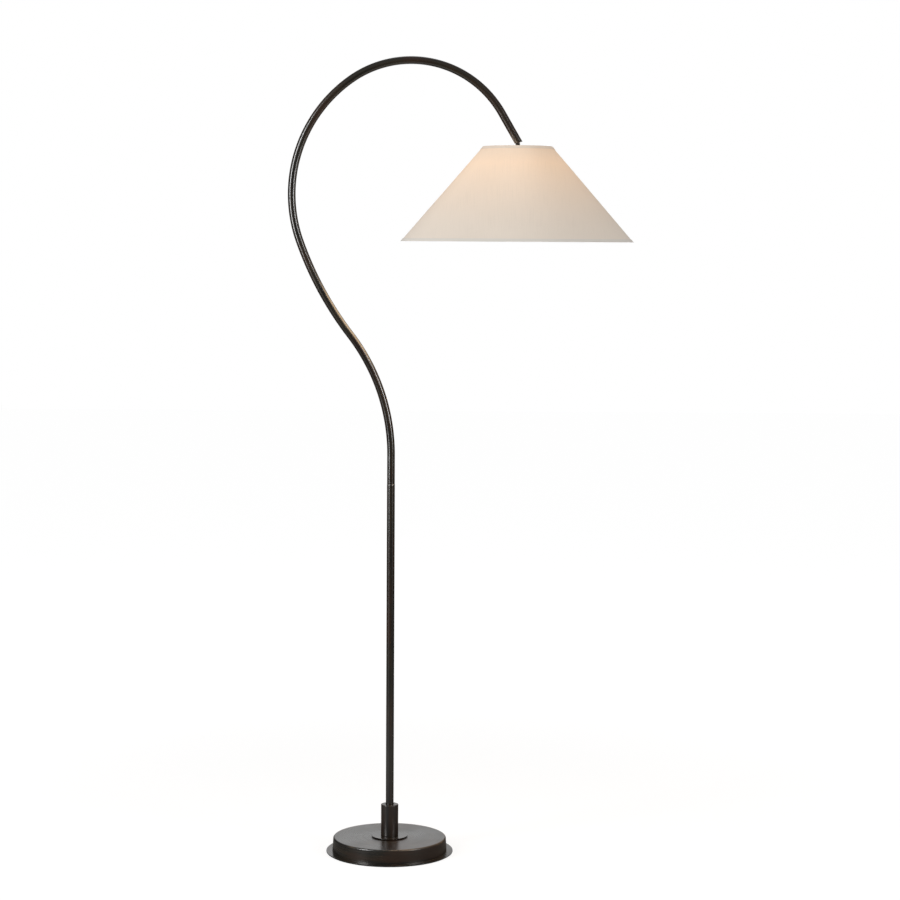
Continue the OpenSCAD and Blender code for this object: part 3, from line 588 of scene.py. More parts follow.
def bronze(mat, dull, cloud, relief, warm=0.0):
    """Dark bronze under satin lacquer: long streaks, brown patches, and metal at rubbed edges that also
    serves as a painted highlight along rounded edges.
    """
    hue = lamp_colours()
    streak = mat.attribute("streak")
    fine = mat.noise(420, 3, 0.6, streak)
    broad = mat.noise(130, place=streak)
    patch = mat.noise(11, 3)
    speck = mat.noise(900)
    body = mat.mix(
        mat.ease(0.5 * broad + 0.5 * patch, 0.40, 0.60), hue.bronze_dark, hue.bronze_olive)
    reddened = mat.ease(0.4 * broad + 0.6 * mat.noise(7, 3) + warm, 0.47, 0.62)
    body = mat.mix(0.75 * reddened, body, hue.bronze_red)
    body = mat.mix(0.4 * mat.ease(fine, 0.50, 0.72), body, hue.bronze_dry)
    broken = mat.noise(9, rough=0.6)
    # rubbed metal at edges, and a painted highlight along the crest of rounded edges
    worn_and_glinting = mat.attribute("wear", "Fac") * mat.ease(broken + 0.15 * speck, 0.56, 0.78)
    return mat.surface(
        Base_Color=mat.mix(worn_and_glinting, body, hue.bronze_rubbed_glint),
        Metallic=0.85 * worn_and_glinting,
        Roughness=dull + cloud * (patch - 0.5) + 0.5 * cloud * (fine - 0.5),
        IOR=1.6,
        Normal=mat.bump(0.6 * fine + 0.4 * speck, relief))


def satin(mat):
    """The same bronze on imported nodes, which carry no streaks of their own."""
    hue = lamp_colours()
    patch = mat.noise(60, 3)
    return mat.surface(
        Base_Color=mat.mix(mat.ease(patch, 0.4, 0.65), hue.bronze_dark, hue.bronze_red),
        Roughness=0.25 + 0.12 * (patch - 0.5),
        IOR=1.6,
        Normal=mat.bump(mat.noise(900), 0.00002))


def metal(mat, shade, dull):
    """A metal with faint tool marks, cloudy dullness and small stains."""
    cloud = mat.noise(45, 3)
    stain = mat.ease(mat.noise(140, 3), 0.56, 0.74)
    return mat.surface(
        Base_Color=mat.mix(0.45 * stain + 0.15 * cloud, shade, darker(shade, 0.55)),
        Metallic=1.0,
        Roughness=dull + 0.16 * (cloud - 0.5) + 0.12 * stain,
        Normal=mat.bump(mat.noise(1400), 0.00002))


def sand_cast(mat):
    """Sand-cast iron: a coarse dark skin."""
    sand = mat.noise(700, 4, 0.7)
    rust = mat.ease(mat.noise(22, 4), 0.56, 0.70)
    skin = mat.mix(sand, (0.05, 0.05, 0.05), (0.12, 0.12, 0.125))
    return mat.surface(
        Base_Color=mat.mix(rust, skin, (0.13, 0.06, 0.03)),
        Metallic=0.5,
        Roughness=0.62 + 0.2 * sand,
        Normal=mat.bump(sand, 0.0004))


def moulded(mat, light, dark, dull, pebble):
    """A moulded skin with a fine pebble and cloudy gloss."""
    cloud = mat.noise(60, 3)
    return mat.surface(
        Base_Color=mat.mix(cloud, dark, light),
        Roughness=dull + 0.18 * (cloud - 0.5),
        Normal=mat.bump(mat.noise(1100), pebble))


def fibre_card(mat):
    """Grey-brown insulating card with short fibres."""
    x, y, z = mat.parts(mat.place)
    fibres = mat.noise(1600, 3, 0.7, mat.vector(x, y, z * 0.2))
    return mat.surface(
        Base_Color=mat.mix(fibres, (0.22, 0.15, 0.10), (0.42, 0.32, 0.22)),
        Roughness=0.72 + 0.1 * fibres,
        Normal=mat.bump(fibres, 0.00006))


def felt(mat):
    """Felt: tangled fibres under a soft sheen."""
    tangle = mat.noise(1500, 4, 0.7)
    tufts = mat.noise(260, 3, 0.6)
    return mat.surface(
        Base_Color=mat.mix(tangle, (0.010, 0.010, 0.011), (0.050, 0.048, 0.047)),
        Roughness=0.88 + 0.08 * tufts,
        Sheen_Weight=0.4,
        Sheen_Roughness=0.5,
        Normal=mat.bump(0.6 * tangle + 0.4 * tufts, 0.0003))


def woven(mat):
    """Height and slubs of a plain weave on the cloth's own flat cut, in metres."""
    across, along, flat = mat.parts(mat.node("ShaderNodeUVMap", {"uv_map": "cut"}))
    drift = 0.25 * (mat.noise(900, place=mat.vector(across, along, flat)) - 0.5)
    pace = 2 * pi / lamp_sizes().thread_of_linen
    weave = mat.math("SINE", across * pace + drift) * mat.math("SINE", along * pace + drift)
    warp = mat.noise(700, 2, 0.6, mat.vector(across, along * 0.02, flat))
    weft = mat.noise(700, 2, 0.6, mat.vector(across * 0.02, along, flat))
    return weave, mat.ease(warp, 0.45, 0.75) + 0.4 * mat.ease(weft, 0.45, 0.75)


def shade_glow(mat):
    """Painted lamplight on the shade: strongest beside the bulb's neck, a little less at the upper rim,
    nearly gone at the lower one.
    """
    height = mat.parts(mat.place)[2]
    foot, rim = low("shade_cover").z, high("shade_cover").z
    climb = mat.node("ShaderNodeMapRange", {}, {
        "Value": height, "From Min": foot, "From Max": rim - BULB_NECK})
    fall = mat.ease(height, rim - BULB_NECK, rim + 4 * MM, 1.0, 0.70)
    return 0.035 + 0.265 * (mat.math("POWER", climb, 1.6) * fall)


def cloth(mat, shade, glow):
    """Linen with its weave, its slubs and a painted glow that stands in for the lamplight passing it."""
    weave, slubs = woven(mat)
    share = 0.28 * slubs + 0.5 * (mat.noise(7) - 0.5)
    lit = glow * shade_glow(mat) * (1.0 - 0.06 * slubs)
    return mat.surface(
        Base_Color=mat.mix(share, shade, darker(shade, 0.86)),
        Roughness=0.86 + 0.05 * weave,
        Specular_IOR_Level=0.25,
        Sheen_Weight=0.15,
        Sheen_Roughness=0.4,
        Emission_Color=mat.tinted(lamp_colours().glow, lit),
        Emission_Strength=1.0,
        Normal=mat.bump(0.5 * weave + 0.5 * slubs, 0.00006))


def film(mat):
    """The stiff white film that the linen is laid on, lit by the bulb, with a painted glow of lamplight
    on top.
    """
    cloud = mat.noise(14, 3)
    return mat.surface(
        Base_Color=mat.mix(cloud, (0.80, 0.76, 0.70), (0.86, 0.83, 0.78)),
        Roughness=0.5 + 0.1 * (cloud - 0.5),
        Emission_Color=mat.tinted(lamp_colours().lamplight, 0.5 * shade_glow(mat)),
        Emission_Strength=1.0,
        Normal=mat.bump(mat.noise(1200), 0.00004))


def lit_glass(mat):
    """The lit bulb, brightest at its belly and dimmer towards its neck."""
    height = mat.parts(mat.place)[2]
    frost = mat.noise(1500)
    strength = mat.ease(
        height, high("bulb_globe").z - 45 * MM, low("bulb_globe").z, 0.5, 4.0)
    return mat.surface(
        Base_Color=mat.mix(frost, (0.86, 0.85, 0.82), (0.92, 0.91, 0.89)),
        Roughness=0.42 + 0.1 * frost,
        Emission_Color=mat.tinted((1.0, 0.86, 0.62), strength),
        Emission_Strength=1.0,
        Normal=mat.bump(frost, 0.00002))


FINISHES = {
    "aged_bronze": (bronze, 0.25, 0.10, 0.000006),
    "rubbed_bronze": (bronze, 0.30, 0.26, 0.00002),  # the base, rubbed by hand, duller in clouds
    "brushed_bronze": (bronze, 0.33, 0.14, 0.00002, 0.07),  # the collar, the dullest and warmest
    "satin_bronze": (satin,),
    "raw_iron": (sand_cast,),
    "zinc_plate": (metal, (0.58, 0.60, 0.63), 0.34),
    "seam_steel": (metal, (0.44, 0.43, 0.42), 0.42),
    "dull_brass": (metal, "brass", 0.32),
    "rolled_aluminium": (metal, (0.74, 0.75, 0.76), 0.30),
    "tinned_solder": (metal, (0.60, 0.60, 0.62), 0.42),
    "black_rubber": (moulded, (0.034, 0.033, 0.032), (0.018, 0.018, 0.018), 0.62, 0.00006),
    "black_resin": (moulded, (0.030, 0.024, 0.021), (0.014, 0.012, 0.011), 0.24, 0.00001),
    "insulating_glass": (moulded, (0.050, 0.032, 0.045), (0.020, 0.014, 0.020), 0.12, 0.00001),
    "wire_lacquer": (moulded, (0.78, 0.76, 0.72), (0.70, 0.68, 0.63), 0.38, 0.00003),
    "pressed_fibre": (fibre_card,),
    "black_felt": (felt,),
    "shade_linen": (cloth, "linen", 1.0),
    "hem_linen": (cloth, "tape", 0.75),  # doubled cloth lets less light through
    "liner_film": (film,),
    "frosted_glass": (lit_glass,),
}


@cache
def finish(name):
    """A finish, made once. A word among its values is the name of one of the lamp's colours."""
    make, *values = FINISHES[name]
    return make(Finish(name), *(
        getattr(lamp_colours(), value) if isinstance(value, str) else value for value in values))


# Pieces

def dented(made, depth, scale):
    """Very shallow hand-worked unevenness, always inwards."""
    for vertex in made.data.vertices:
        spot = vertex.co
        amount = depth * (0.5 + 0.5 * noise.noise(spot * scale))
        share = 1 - amount / max(hypot(spot.x, spot.y), 20 * MM)
        vertex.co = (spot.x * share, spot.y * share, spot.z - 0.6 * amount)


def laid(spot, angle):
    """Lays a piece that was made upright on its side, at a spot."""
    return Matrix.Translation(spot) @ Matrix.Rotation(angle, 4, "X")


def grommet_sizes():
    """The radius of the grommet's lips and of its neck, and its height."""
    bottom, top = low("cord_grommet").z, high("cord_grommet").z
    lip = (top - bottom) / 2
    return lip, lip - 1.7 * MM, (top + bottom) / 2


def frame_mount(name):
    """A mount's sizes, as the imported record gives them."""
    return next(m for m in frame["record"]["mounts"] if m["name"] == name)["dims"]


class LAMP_OT_base(bpy.types.Operator):
    """Spins the base's shell, its disc and its collar, and cuts the felt under them"""
    bl_idname = "lamp.base"
    bl_label = "Base"

    def execute(self, context):
        self.shell_of_base()
        self.disc()
        self.collar()
        self.felt()
        self.grommet()
        paint("raw_iron", "base_weight")
        paint("zinc_plate", "bottom_plate", "plate_screws", "base_washer", "base_lock_washer",
              "base_nut", "tie_tube", "neck_washer", "neck_nut")
        return {"FINISHED"}

    def shell_of_base(self):
        """One spun sheet: a rolled rim, the flange, a hollow curve, the drum and its top."""
        size = lamp_sizes()
        foot, top, rim = upright("base_shell")
        sheet = size.base_sheet
        bore = radius_of("tie_tube") + EASY_FIT
        made = turned("base_spun_shell", [
            (size.drum_foot_r - sheet, foot),
            (rim, foot, 1.0 * MM, 0.4),
            (rim, foot + sheet, 0.3 * MM),
            (size.drum_foot_r - 0.1 * MM, foot + sheet, size.drum_foot_curve),
            # the wear on the drum's upper edge is rubbed metal and a painted highlight along its rim
            (size.drum_top_r, top, size.drum_edge_r, 0.3),
            (size.drum_top_r * 0.80, top),
            (size.drum_top_r * 0.55, top),
            (bore, top),
            (bore, top - sheet),
            (size.drum_top_r - sheet, top - sheet, 1.5 * MM),
        ], sides=224, steps=7, spun=True, closed=True)
        dented(made, 0.16 * MM, 24)
        self.bore_inlet(made, sheet)
        fit(made, STAND, "bronze", "rubbed_bronze", "base_shell")

    def bore_inlet(self, made, sheet):
        """Cuts the hole that the grommet's neck fills."""
        _, neck, middle = grommet_sizes()
        reach = 6 * sheet
        drill = turned("drill", [(0, -reach), (neck, -reach), (neck, reach), (0, reach)], sides=48)
        drill.data.transform(laid((0, high("cord_grommet").y - sheet, middle), -pi / 2))
        cut = made.modifiers.new("inlet", "BOOLEAN")
        cut.object = drill
        applied(made)
        bpy.data.objects.remove(drill)

    def disc(self):
        """A thin disc that stands on its middle, with a gap under its rim."""
        size = lamp_sizes()
        foot, top, rim = upright("check_disc")
        bore = radius_of("tie_tube") + EASY_FIT
        lip, under, flat = rim - size.disc_rim, foot + size.disc_gap, top - 0.15 * MM
        made = turned("check_disc_turned", [
            (bore, foot), (lip, foot, 0.3 * MM), (lip + 0.4 * MM, under, 0.2 * MM),
            (rim, under, 0.4 * MM), (rim, top, 0.4 * MM), (rim * 0.8, flat), (bore, flat),
        ], sides=160, spun=True, closed=True)
        fit(made, STAND, "bronze", "aged_bronze", "check_disc")

    def collar(self):
        """A solid neck with a bore for the stem, opened a little at its mouth."""
        size = lamp_sizes()
        foot, top, rim = upright("collar")
        bore = radius_of("stem_tube") + EASY_FIT
        mouth = bore + 0.8 * MM
        step, seat = top - size.collar_gap, low("neck_washer").z
        made = turned("collar_turned", [
            (0, foot), (rim, foot, 0.5 * MM, 0.3), (rim, top, size.collar_edge, 0.8),
            (mouth, top, 0.3 * MM, 0.5), (mouth, step, 0.2 * MM), (bore, step),
            (bore, seat), (0, seat)])
        fit(made, STAND, "bronze", "brushed_bronze", "collar")

    def felt(self):
        """A felt disc with a soft, slightly uneven cut edge."""
        _, thick, rim = upright("foot_pad")
        made = turned("felt_foot", [
            (0, 0), (rim * 0.6, 0), (rim, 0, 0.3 * MM),
            (rim, thick, 0.4 * MM), (rim * 0.6, thick), (0, thick)], sides=256)
        for vertex in made.data.vertices:
            if hypot(vertex.co.x, vertex.co.y) > rim - 1 * MM:
                trim = 1 - 0.004 * abs(noise.noise(vertex.co * 90))
                vertex.co.x *= trim
                vertex.co.y *= trim
        fit(made, STAND, "felt", "black_felt", "foot_pad")

    def grommet(self):
        """A rubber ring with two rounded lips, on its side at the back of the drum."""
        front, back = low("cord_grommet").y, high("cord_grommet").y
        lip, neck, middle = grommet_sizes()
        bore = frame_mount("cord_inlet")["r_mm"] * MM
        thick = 1.8 * MM
        made = turned("grommet_ring", [
            (bore, front, 0.4 * MM), (lip, front, 0.8 * MM), (lip, front + thick, 0.3 * MM),
            (neck, front + thick), (neck, back - thick),
            (lip, back - thick, 0.3 * MM), (lip, back, 0.8 * MM), (bore, back, 0.5 * MM),
        ], sides=48, closed=True)
        made.data.transform(laid((0, 0, middle), -pi / 2))
        tidy(made)
        fit(made, STAND, "rubber", "black_rubber", "cord_grommet")


def ringed(points):
    """The same line with one more point just inside each end, which keeps the tube's side flat."""
    first = (points[1] - points[0]).normalized() * END_RING
    last = (points[-2] - points[-1]).normalized() * END_RING
    return [points[0], points[0] + first, *points[1:-1], points[-1] + last, points[-1]]


def tube_along(name, points, node, finish_name):
    """Two skins swept along a line of points, with the run and the round stored as streaks."""
    points = ringed(points)
    line = bpy.data.curves.new(name + "_line", "CURVE")
    line.dimensions = "3D"
    spline = line.splines.new("POLY")
    spline.points.add(len(points) - 1)
    spline.points.foreach_set("co", [part for p in points for part in (*p, 1.0)])
    shape = Shaper("swept_tube", outer=radius_of(node), wall=lamp_sizes().tube_wall, sides=48)
    run = shape.node("GeometryNodeSplineParameter", output="Length")
    path = shape.store(shape.given("Geometry"), "run", "FLOAT", run)
    skins = []
    for reach in (shape.given("outer"), shape.given("outer") - shape.given("wall")):
        ring = shape.ring(shape.given("sides"), reach)
        ring = shape.store(ring, "round", "FLOAT_VECTOR", shape.spot())
        skins.append(shape.sweep(path, ring, capped=False))
    across, deep, _ = shape.parts(shape.stored("round", "FLOAT_VECTOR"))
    streak = shape.vector(across, deep, shape.stored("run", "FLOAT") * STREAK)
    drawn = shape.store(shape.skins(*skins), "streak", "FLOAT_VECTOR", streak)
    return shape.make(name, drawn, finish_name, new_object(name + "_line", line))


def threaded(name, finish_name, radius, bore, bottom, top, pitch, depth, x=0.0):
    """A sleeve with a helical thread outside, which fades at both ends, and a plain bore."""
    tall = top - bottom
    shape = Shaper(
        "threaded_sleeve", radius=radius, bore=bore, pitch=pitch, depth=depth, length=tall,
        sides=64, rows=max(8, int(tall / pitch * 8)))
    grid = shape.node("GeometryNodeMeshGrid", {}, {
        "Size X": 1.0, "Size Y": 1.0,
        "Vertices X": shape.given("sides"), "Vertices Y": shape.given("rows")})
    u, v, _ = shape.parts(shape.spot())
    around = u + 0.5
    angle = around * (2 * pi)
    height = (v + 0.5) * shape.given("length")
    wound = height / shape.given("pitch") - around
    wave = 0.5 - 0.5 * shape.math("COSINE", wound * (2 * pi))
    ends = shape.ease(abs(v), 0.5 - 0.6 * pitch / tall, 0.5)
    hollow = ends + wave - ends * wave
    skins = []
    for reach in (shape.given("radius") - hollow * shape.given("depth"), shape.given("bore")):
        across = reach * shape.math("COSINE", angle) + x
        deep = reach * shape.math("SINE", angle)
        skins.append(shape.moved(grid, shape.vector(across, deep, height + bottom)))
    made = shape.make(name, shape.skins(*skins), finish_name)
    join_ends(made, [Vector((x + bore, 0, z)) for z in (bottom, top)])
    return made


def add_streaks(made):
    """Streaks along Z, round the shade's axis, on a piece that has none yet."""
    spots = [vertex.co for vertex in made.data.vertices]
    mark(made.data, [(spot.x - SHADE_X, spot.y, STREAK * spot.z) for spot in spots],
         [0.0] * len(spots))


class LAMP_OT_stem(bpy.types.Operator):
    """Draws the straight stem and turns the ring at the seam"""
    bl_idname = "lamp.stem"
    bl_label = "Stem"

    def execute(self, context):
        bottom, top, _ = upright("stem_tube")
        ends = [Vector((0, 0, bottom)), Vector((0, 0, top))]
        points = [ends[0].lerp(ends[1], k / 40) for k in range(41)]
        made = tube_along("stem_drawn", points, "stem_tube", "aged_bronze")
        join_ends(made, ends)
        soften(made, 0.35 * MM)
        fit(made, STAND, "bronze", "aged_bronze", "stem_tube")
        foot, head, rim = upright("swivel_ring")
        bore, edge = 4.65 * MM, 0.25 * MM
        ring = turned("swivel_ring_turned", [
            (bore, foot), (rim, foot, edge), (rim, head, edge), (bore, head)],
            sides=96, closed=True)
        fit(ring, STAND, "seam_steel", "seam_steel", "swivel_ring")
        paint("dull_brass", "stem_foot_bush", "stem_top_bush")
        return {"FINISHED"}


def arm_line(size):
    """Points along the arm's centre line from the seam, and its heading at the tip."""
    spot = Vector((0, 0, low("arm_tube").z))
    heading = pi / 2
    points = [spot.copy()]
    for reach, bend in (
            (size.foot_len, 0.0), (size.bend_1_r, size.bend_1), (size.bend_2_r, -size.bend_2),
            (size.bend_3_r, -size.bend_3), (size.bend_4_r, -size.bend_4), (size.tip_len, 0.0)):
        count = max(4, round(abs(bend) / radians(1)))
        part = bend / count
        chord = 2 * reach * sin(abs(part) / 2) if bend else reach / count
        for _ in range(count):
            heading += part / 2
            spot += chord * Vector((cos(heading), 0, sin(heading)))
            heading += part / 2
            points.append(spot.copy())
    return points, heading


class LAMP_OT_arm(bpy.types.Operator):
    """Bends the arm's tube and hangs the threaded tube and its nut from the tip"""
    bl_idname = "lamp.arm"
    bl_label = "Arm"

    def execute(self, context):
        size = lamp_sizes()
        self.tube(size)
        self.nipple(size)
        nut = hexagon_nut("shade_lock_nut_cut", size.nut_flats, "shade_lock_nut")
        add_streaks(nut)
        fit(nut, ARM, "bronze", "aged_bronze", "shade_lock_nut")
        paint("satin_bronze", "tip_plug")
        paint("dull_brass", "arm_spindle")
        paint("zinc_plate", "stop_pin", "friction_washer", "spindle_nut", "holder_lock_washer")
        return {"FINISHED"}

    def tube(self, size):
        """One bent tube whose tip is cut flatter than square."""
        points, heading = arm_line(size)
        made = tube_along("arm_bent", points, "arm_tube", "aged_bronze")
        tip = points[-1]
        on = Vector((cos(heading), 0, sin(heading)))
        across = Vector((-sin(heading), 0, cos(heading)))
        for vertex in made.data.vertices:
            away = vertex.co - tip
            if away.dot(on) > -1.01 * END_RING and away.length < TIP_REACH:
                vertex.co += on * away.dot(across) * tan(size.tip_mitre)
        join_ends(made, [points[0], tip])
        soften(made, 0.3 * MM)
        fit(made, ARM, "bronze", "aged_bronze", "arm_tube")

    def nipple(self, size):
        """The threaded tube that carries the shade and the lampholder."""
        bottom, top, radius = upright("tip_nipple")
        made = threaded(
            "tip_nipple_threaded", "aged_bronze", radius, 3.4 * MM, bottom, top,
            size.thread_pitch, size.thread_depth, SHADE_X)
        add_streaks(made)
        fit(made, ARM, "bronze", "aged_bronze", "tip_nipple")


def hexagon_nut(name, flats, node, sides=72):
    """A hexagon nut on the threaded tube, with corners chamfered at both faces."""
    bottom, top = low(node).z, high(node).z
    bore = radius_of("tip_nipple")
    half = flats / 2
    corner = half / cos(pi / 6)
    chamfer = 0.45 * (corner - half) + 0.3 * MM
    vertices = []
    for z, most in (
            (bottom, half * 0.99), (bottom + chamfer, corner), (top - chamfer, corner),
            (top, half * 0.99), (top, bore), (bottom, bore)):
        for k in range(sides):
            angle = 2 * pi * k / sides
            r = min(most, half / cos((angle + pi / 6) % (pi / 3) - pi / 6))
            vertices.append((SHADE_X + r * cos(angle), r * sin(angle), z))
    rows = [range(start, start + sides) for start in range(0, len(vertices), sides)]
    faces = [
        (lower[k], lower[(k + 1) % sides], upper[(k + 1) % sides], upper[k])
        for lower, upper in zip(rows, rows[1:] + rows[:1]) for k in range(sides)]
    return shell(name, vertices, faces)


def shade_radius(z, inset=0.0):
    """The cone's outer radius at a height, less an inset measured level."""
    size = lamp_sizes()
    foot, rim = low("shade_cover").z, high("shade_cover").z
    share = (z - foot) / (rim - foot)
    return size.shade_foot_r + (size.shade_top_r - size.shade_foot_r) * share - inset


def flat_map(made, spots):
    """A cloth's flat cut as its UV map, in metres."""
    layer = made.data.uv_layers.new(name="cut")
    for loop in made.data.loops:
        layer.data[loop.index].uv = spots[loop.vertex_index]


def wire_ring(name, radius, z, wire):
    """A level ring of round wire on the shade's axis."""
    corners = [
        (radius + wire * cos(2 * pi * k / 12), z + wire * sin(2 * pi * k / 12)) for k in range(12)]
    return turned(name, corners, SHADE_X, sides=160, closed=True)


class LAMP_OT_shade(bpy.types.Operator):
    """Wraps the linen on its liner, folds its tapes and bends the wire frame that carries it"""
    bl_idname = "lamp.shade"
    bl_label = "Shade"

    def execute(self, context):
        size = lamp_sizes()
        self.foot, self.rim, _ = upright("shade_cover")
        rise, flare = self.rim - self.foot, size.shade_foot_r - size.shade_top_r
        slant = hypot(rise, flare)
        self.level = slant / rise  # width, measured level, of a sheet one unit thick
        self.spread = spread = flare / slant  # share of a full turn in the flat sector
        self.skin = size.linen_t * LINER_SKIN * self.level  # from the cone in to the liner
        self.wall = self.skin + size.liner_t * self.level  # from the cone in to the liner's inside
        linen = self.linen(size)
        self.liner()
        tapes = [self.tape("upper_tape", self.rim, 1, "shade_top_hem"),
                 self.tape("lower_tape", self.foot, -1, "shade_bottom_hem")]
        outer, inner = size.shade_foot_r / spread, size.shade_top_r / spread
        2 * outer
        outer * (1 - cos(pi * spread))
        pi * spread * (outer ** 2 - inner ** 2)
        self.wires(size)
        return {"FINISHED"}

    def levels(self, count):
        """Heights from the shade's foot to its rim."""
        return [self.foot + (self.rim - self.foot) * i / count for i in range(count + 1)]

    def linen(self, size):
        """The cut sector of linen rolled into a cone, with a glued lap at the back."""
        columns, rows, lap_columns = 240, 48, 10
        wide = columns + lap_columns + 1
        lift = size.linen_t * LAP_LIFT * self.level
        vertices, cut = [], []
        for z in self.levels(rows):
            r = shade_radius(z)
            for k in range(wide):
                over = max(0, k - columns) / lap_columns
                angle = 2 * pi * min(k, columns) / columns + size.lap / r * over
                raised = r + lift * min(1.0, 4 * over) - lift * (over == 0)
                raised += 0.25 * MM * noise.noise(Vector((3 * cos(angle), 3 * sin(angle), 20 * z)))
                facing = pi / 2 + angle
                vertices.append((SHADE_X + raised * cos(facing), raised * sin(facing), z))
                flat_angle, flat_r = (angle - pi) * self.spread, r / self.spread
                cut.append((flat_r * sin(flat_angle), flat_r * cos(flat_angle)))
        corners = [i * wide + k for i in range(rows) for k in range(wide - 1)]
        faces = [(at, at + 1, at + wide + 1, at + wide) for at in corners]
        made = shell("shade_linen_cone", vertices, faces, outward=False)
        flat_map(made, cut)
        wall = made.modifiers.new("thickness", "SOLIDIFY")
        wall.thickness = size.linen_t
        wall.offset = -1
        return fit(made, ARM, "linen", "shade_linen", "shade_cover")

    def liner(self):
        """The stiff film inside the linen."""
        levels = self.levels(12)
        corners = [(shade_radius(z, self.skin), z) for z in levels]
        corners += [(shade_radius(z, self.wall), z) for z in reversed(levels)]
        made = turned("shade_liner", corners, SHADE_X, sides=192, closed=True)
        fit(made, ARM, "linen", "liner_film")

    def tape(self, name, rim, way, node):
        """A linen tape folded over a rim, with a soft fold and slightly uneven edges."""
        depth = high(node).z - low(node).z
        edge, tip = rim - way * (depth - 0.6 * MM), rim + way * 0.5 * MM
        thick, fold = 0.35 * MM, 0.3 * MM
        outside, inside = -0.02 * MM, self.wall + 0.02 * MM
        made = turned(name, [
            (shade_radius(z, inset), z, fillet) for z, inset, fillet in (
                (edge, outside, 0), (edge, outside - thick, 0), (tip, outside - thick, fold),
                (tip, inside + thick, fold), (edge, inside + thick, 0), (edge, inside, 0),
                (rim, inside, 0), (rim, outside, 0))
        ], SHADE_X, sides=256, steps=3, closed=True)
        spots = []
        for vertex in made.data.vertices:
            angle = atan2(vertex.co.y, vertex.co.x - SHADE_X)
            if abs(vertex.co.z - edge) < 0.1 * MM:
                vertex.co.z += 0.12 * MM * noise.noise(Vector((9 * cos(angle), 9 * sin(angle), rim)))
            spots.append((angle * shade_radius(rim), vertex.co.z - rim))
        flat_map(made, spots)
        return fit(made, ARM, "linen_tape", "hem_linen", node)

    def wires(self, size):
        """The upper ring, the hub and its bent arms are one welded frame; the lower ring is free."""
        wire = size.wire_r
        ring_z = high("shade_frame").z - wire
        ring_r = (high("shade_frame").x - low("shade_frame").x) / 2 - wire
        foot, top = high("holder_lock_washer").z, low("shade_lock_nut").z
        bore = radius_of("tip_nipple") + EASY_FIT
        wide, edge = 14 * MM, 0.4 * MM
        hub = turned("hub", [
            (bore, foot), (wide, foot, edge), (wide, top, edge), (bore, top)],
            SHADE_X, sides=64, closed=True)
        arms = self.frame_arms(size, (foot + top) / 2, ring_z, wide - 2 * MM, ring_r)
        whole = merged("shade_wire_frame", [hub, arms, wire_ring("ring", ring_r, ring_z, wire)])
        fit(whole, ARM, "shade_wire", "wire_lacquer", "shade_frame")
        bottom, top, radius = upright("shade_bottom_ring")
        lower = wire_ring("shade_lower_wire", radius - wire, (top + bottom) / 2, wire)
        fit(lower, ARM, "shade_wire", "wire_lacquer", "shade_bottom_ring")

    def frame_arms(self, size, hub_z, ring_z, start, end):
        """Wires that leave the hub level, rise in an easy bend and meet the ring level."""
        shape = Shaper("frame_arms", count=size.frame_arms, wire=size.wire_r)
        line = shape.node("GeometryNodeResampleCurve", {}, {
            "Curve": shape.line((start, 0, 0), (end, 0, 0)), "Count": 20})
        x = shape.parts(shape.spot())[0]
        line = shape.moved(line, shape.vector(x, 0, shape.ease(x, start, end, hub_z, ring_z)))
        bar = shape.sweep(line, shape.ring(12, shape.given("wire")))
        spots = shape.row(shape.given("count"), (SHADE_X, 0, 0), (0, 0, 0))
        angle = shape.node("GeometryNodeInputIndex") * (2 * pi) / shape.given("count") + pi
        facing = shape.node("FunctionNodeEulerToRotation", {}, {0: shape.vector(0, 0, angle)})
        return shape.make("arms", shape.copies(spots, bar, Rotation=facing), "wire_lacquer")


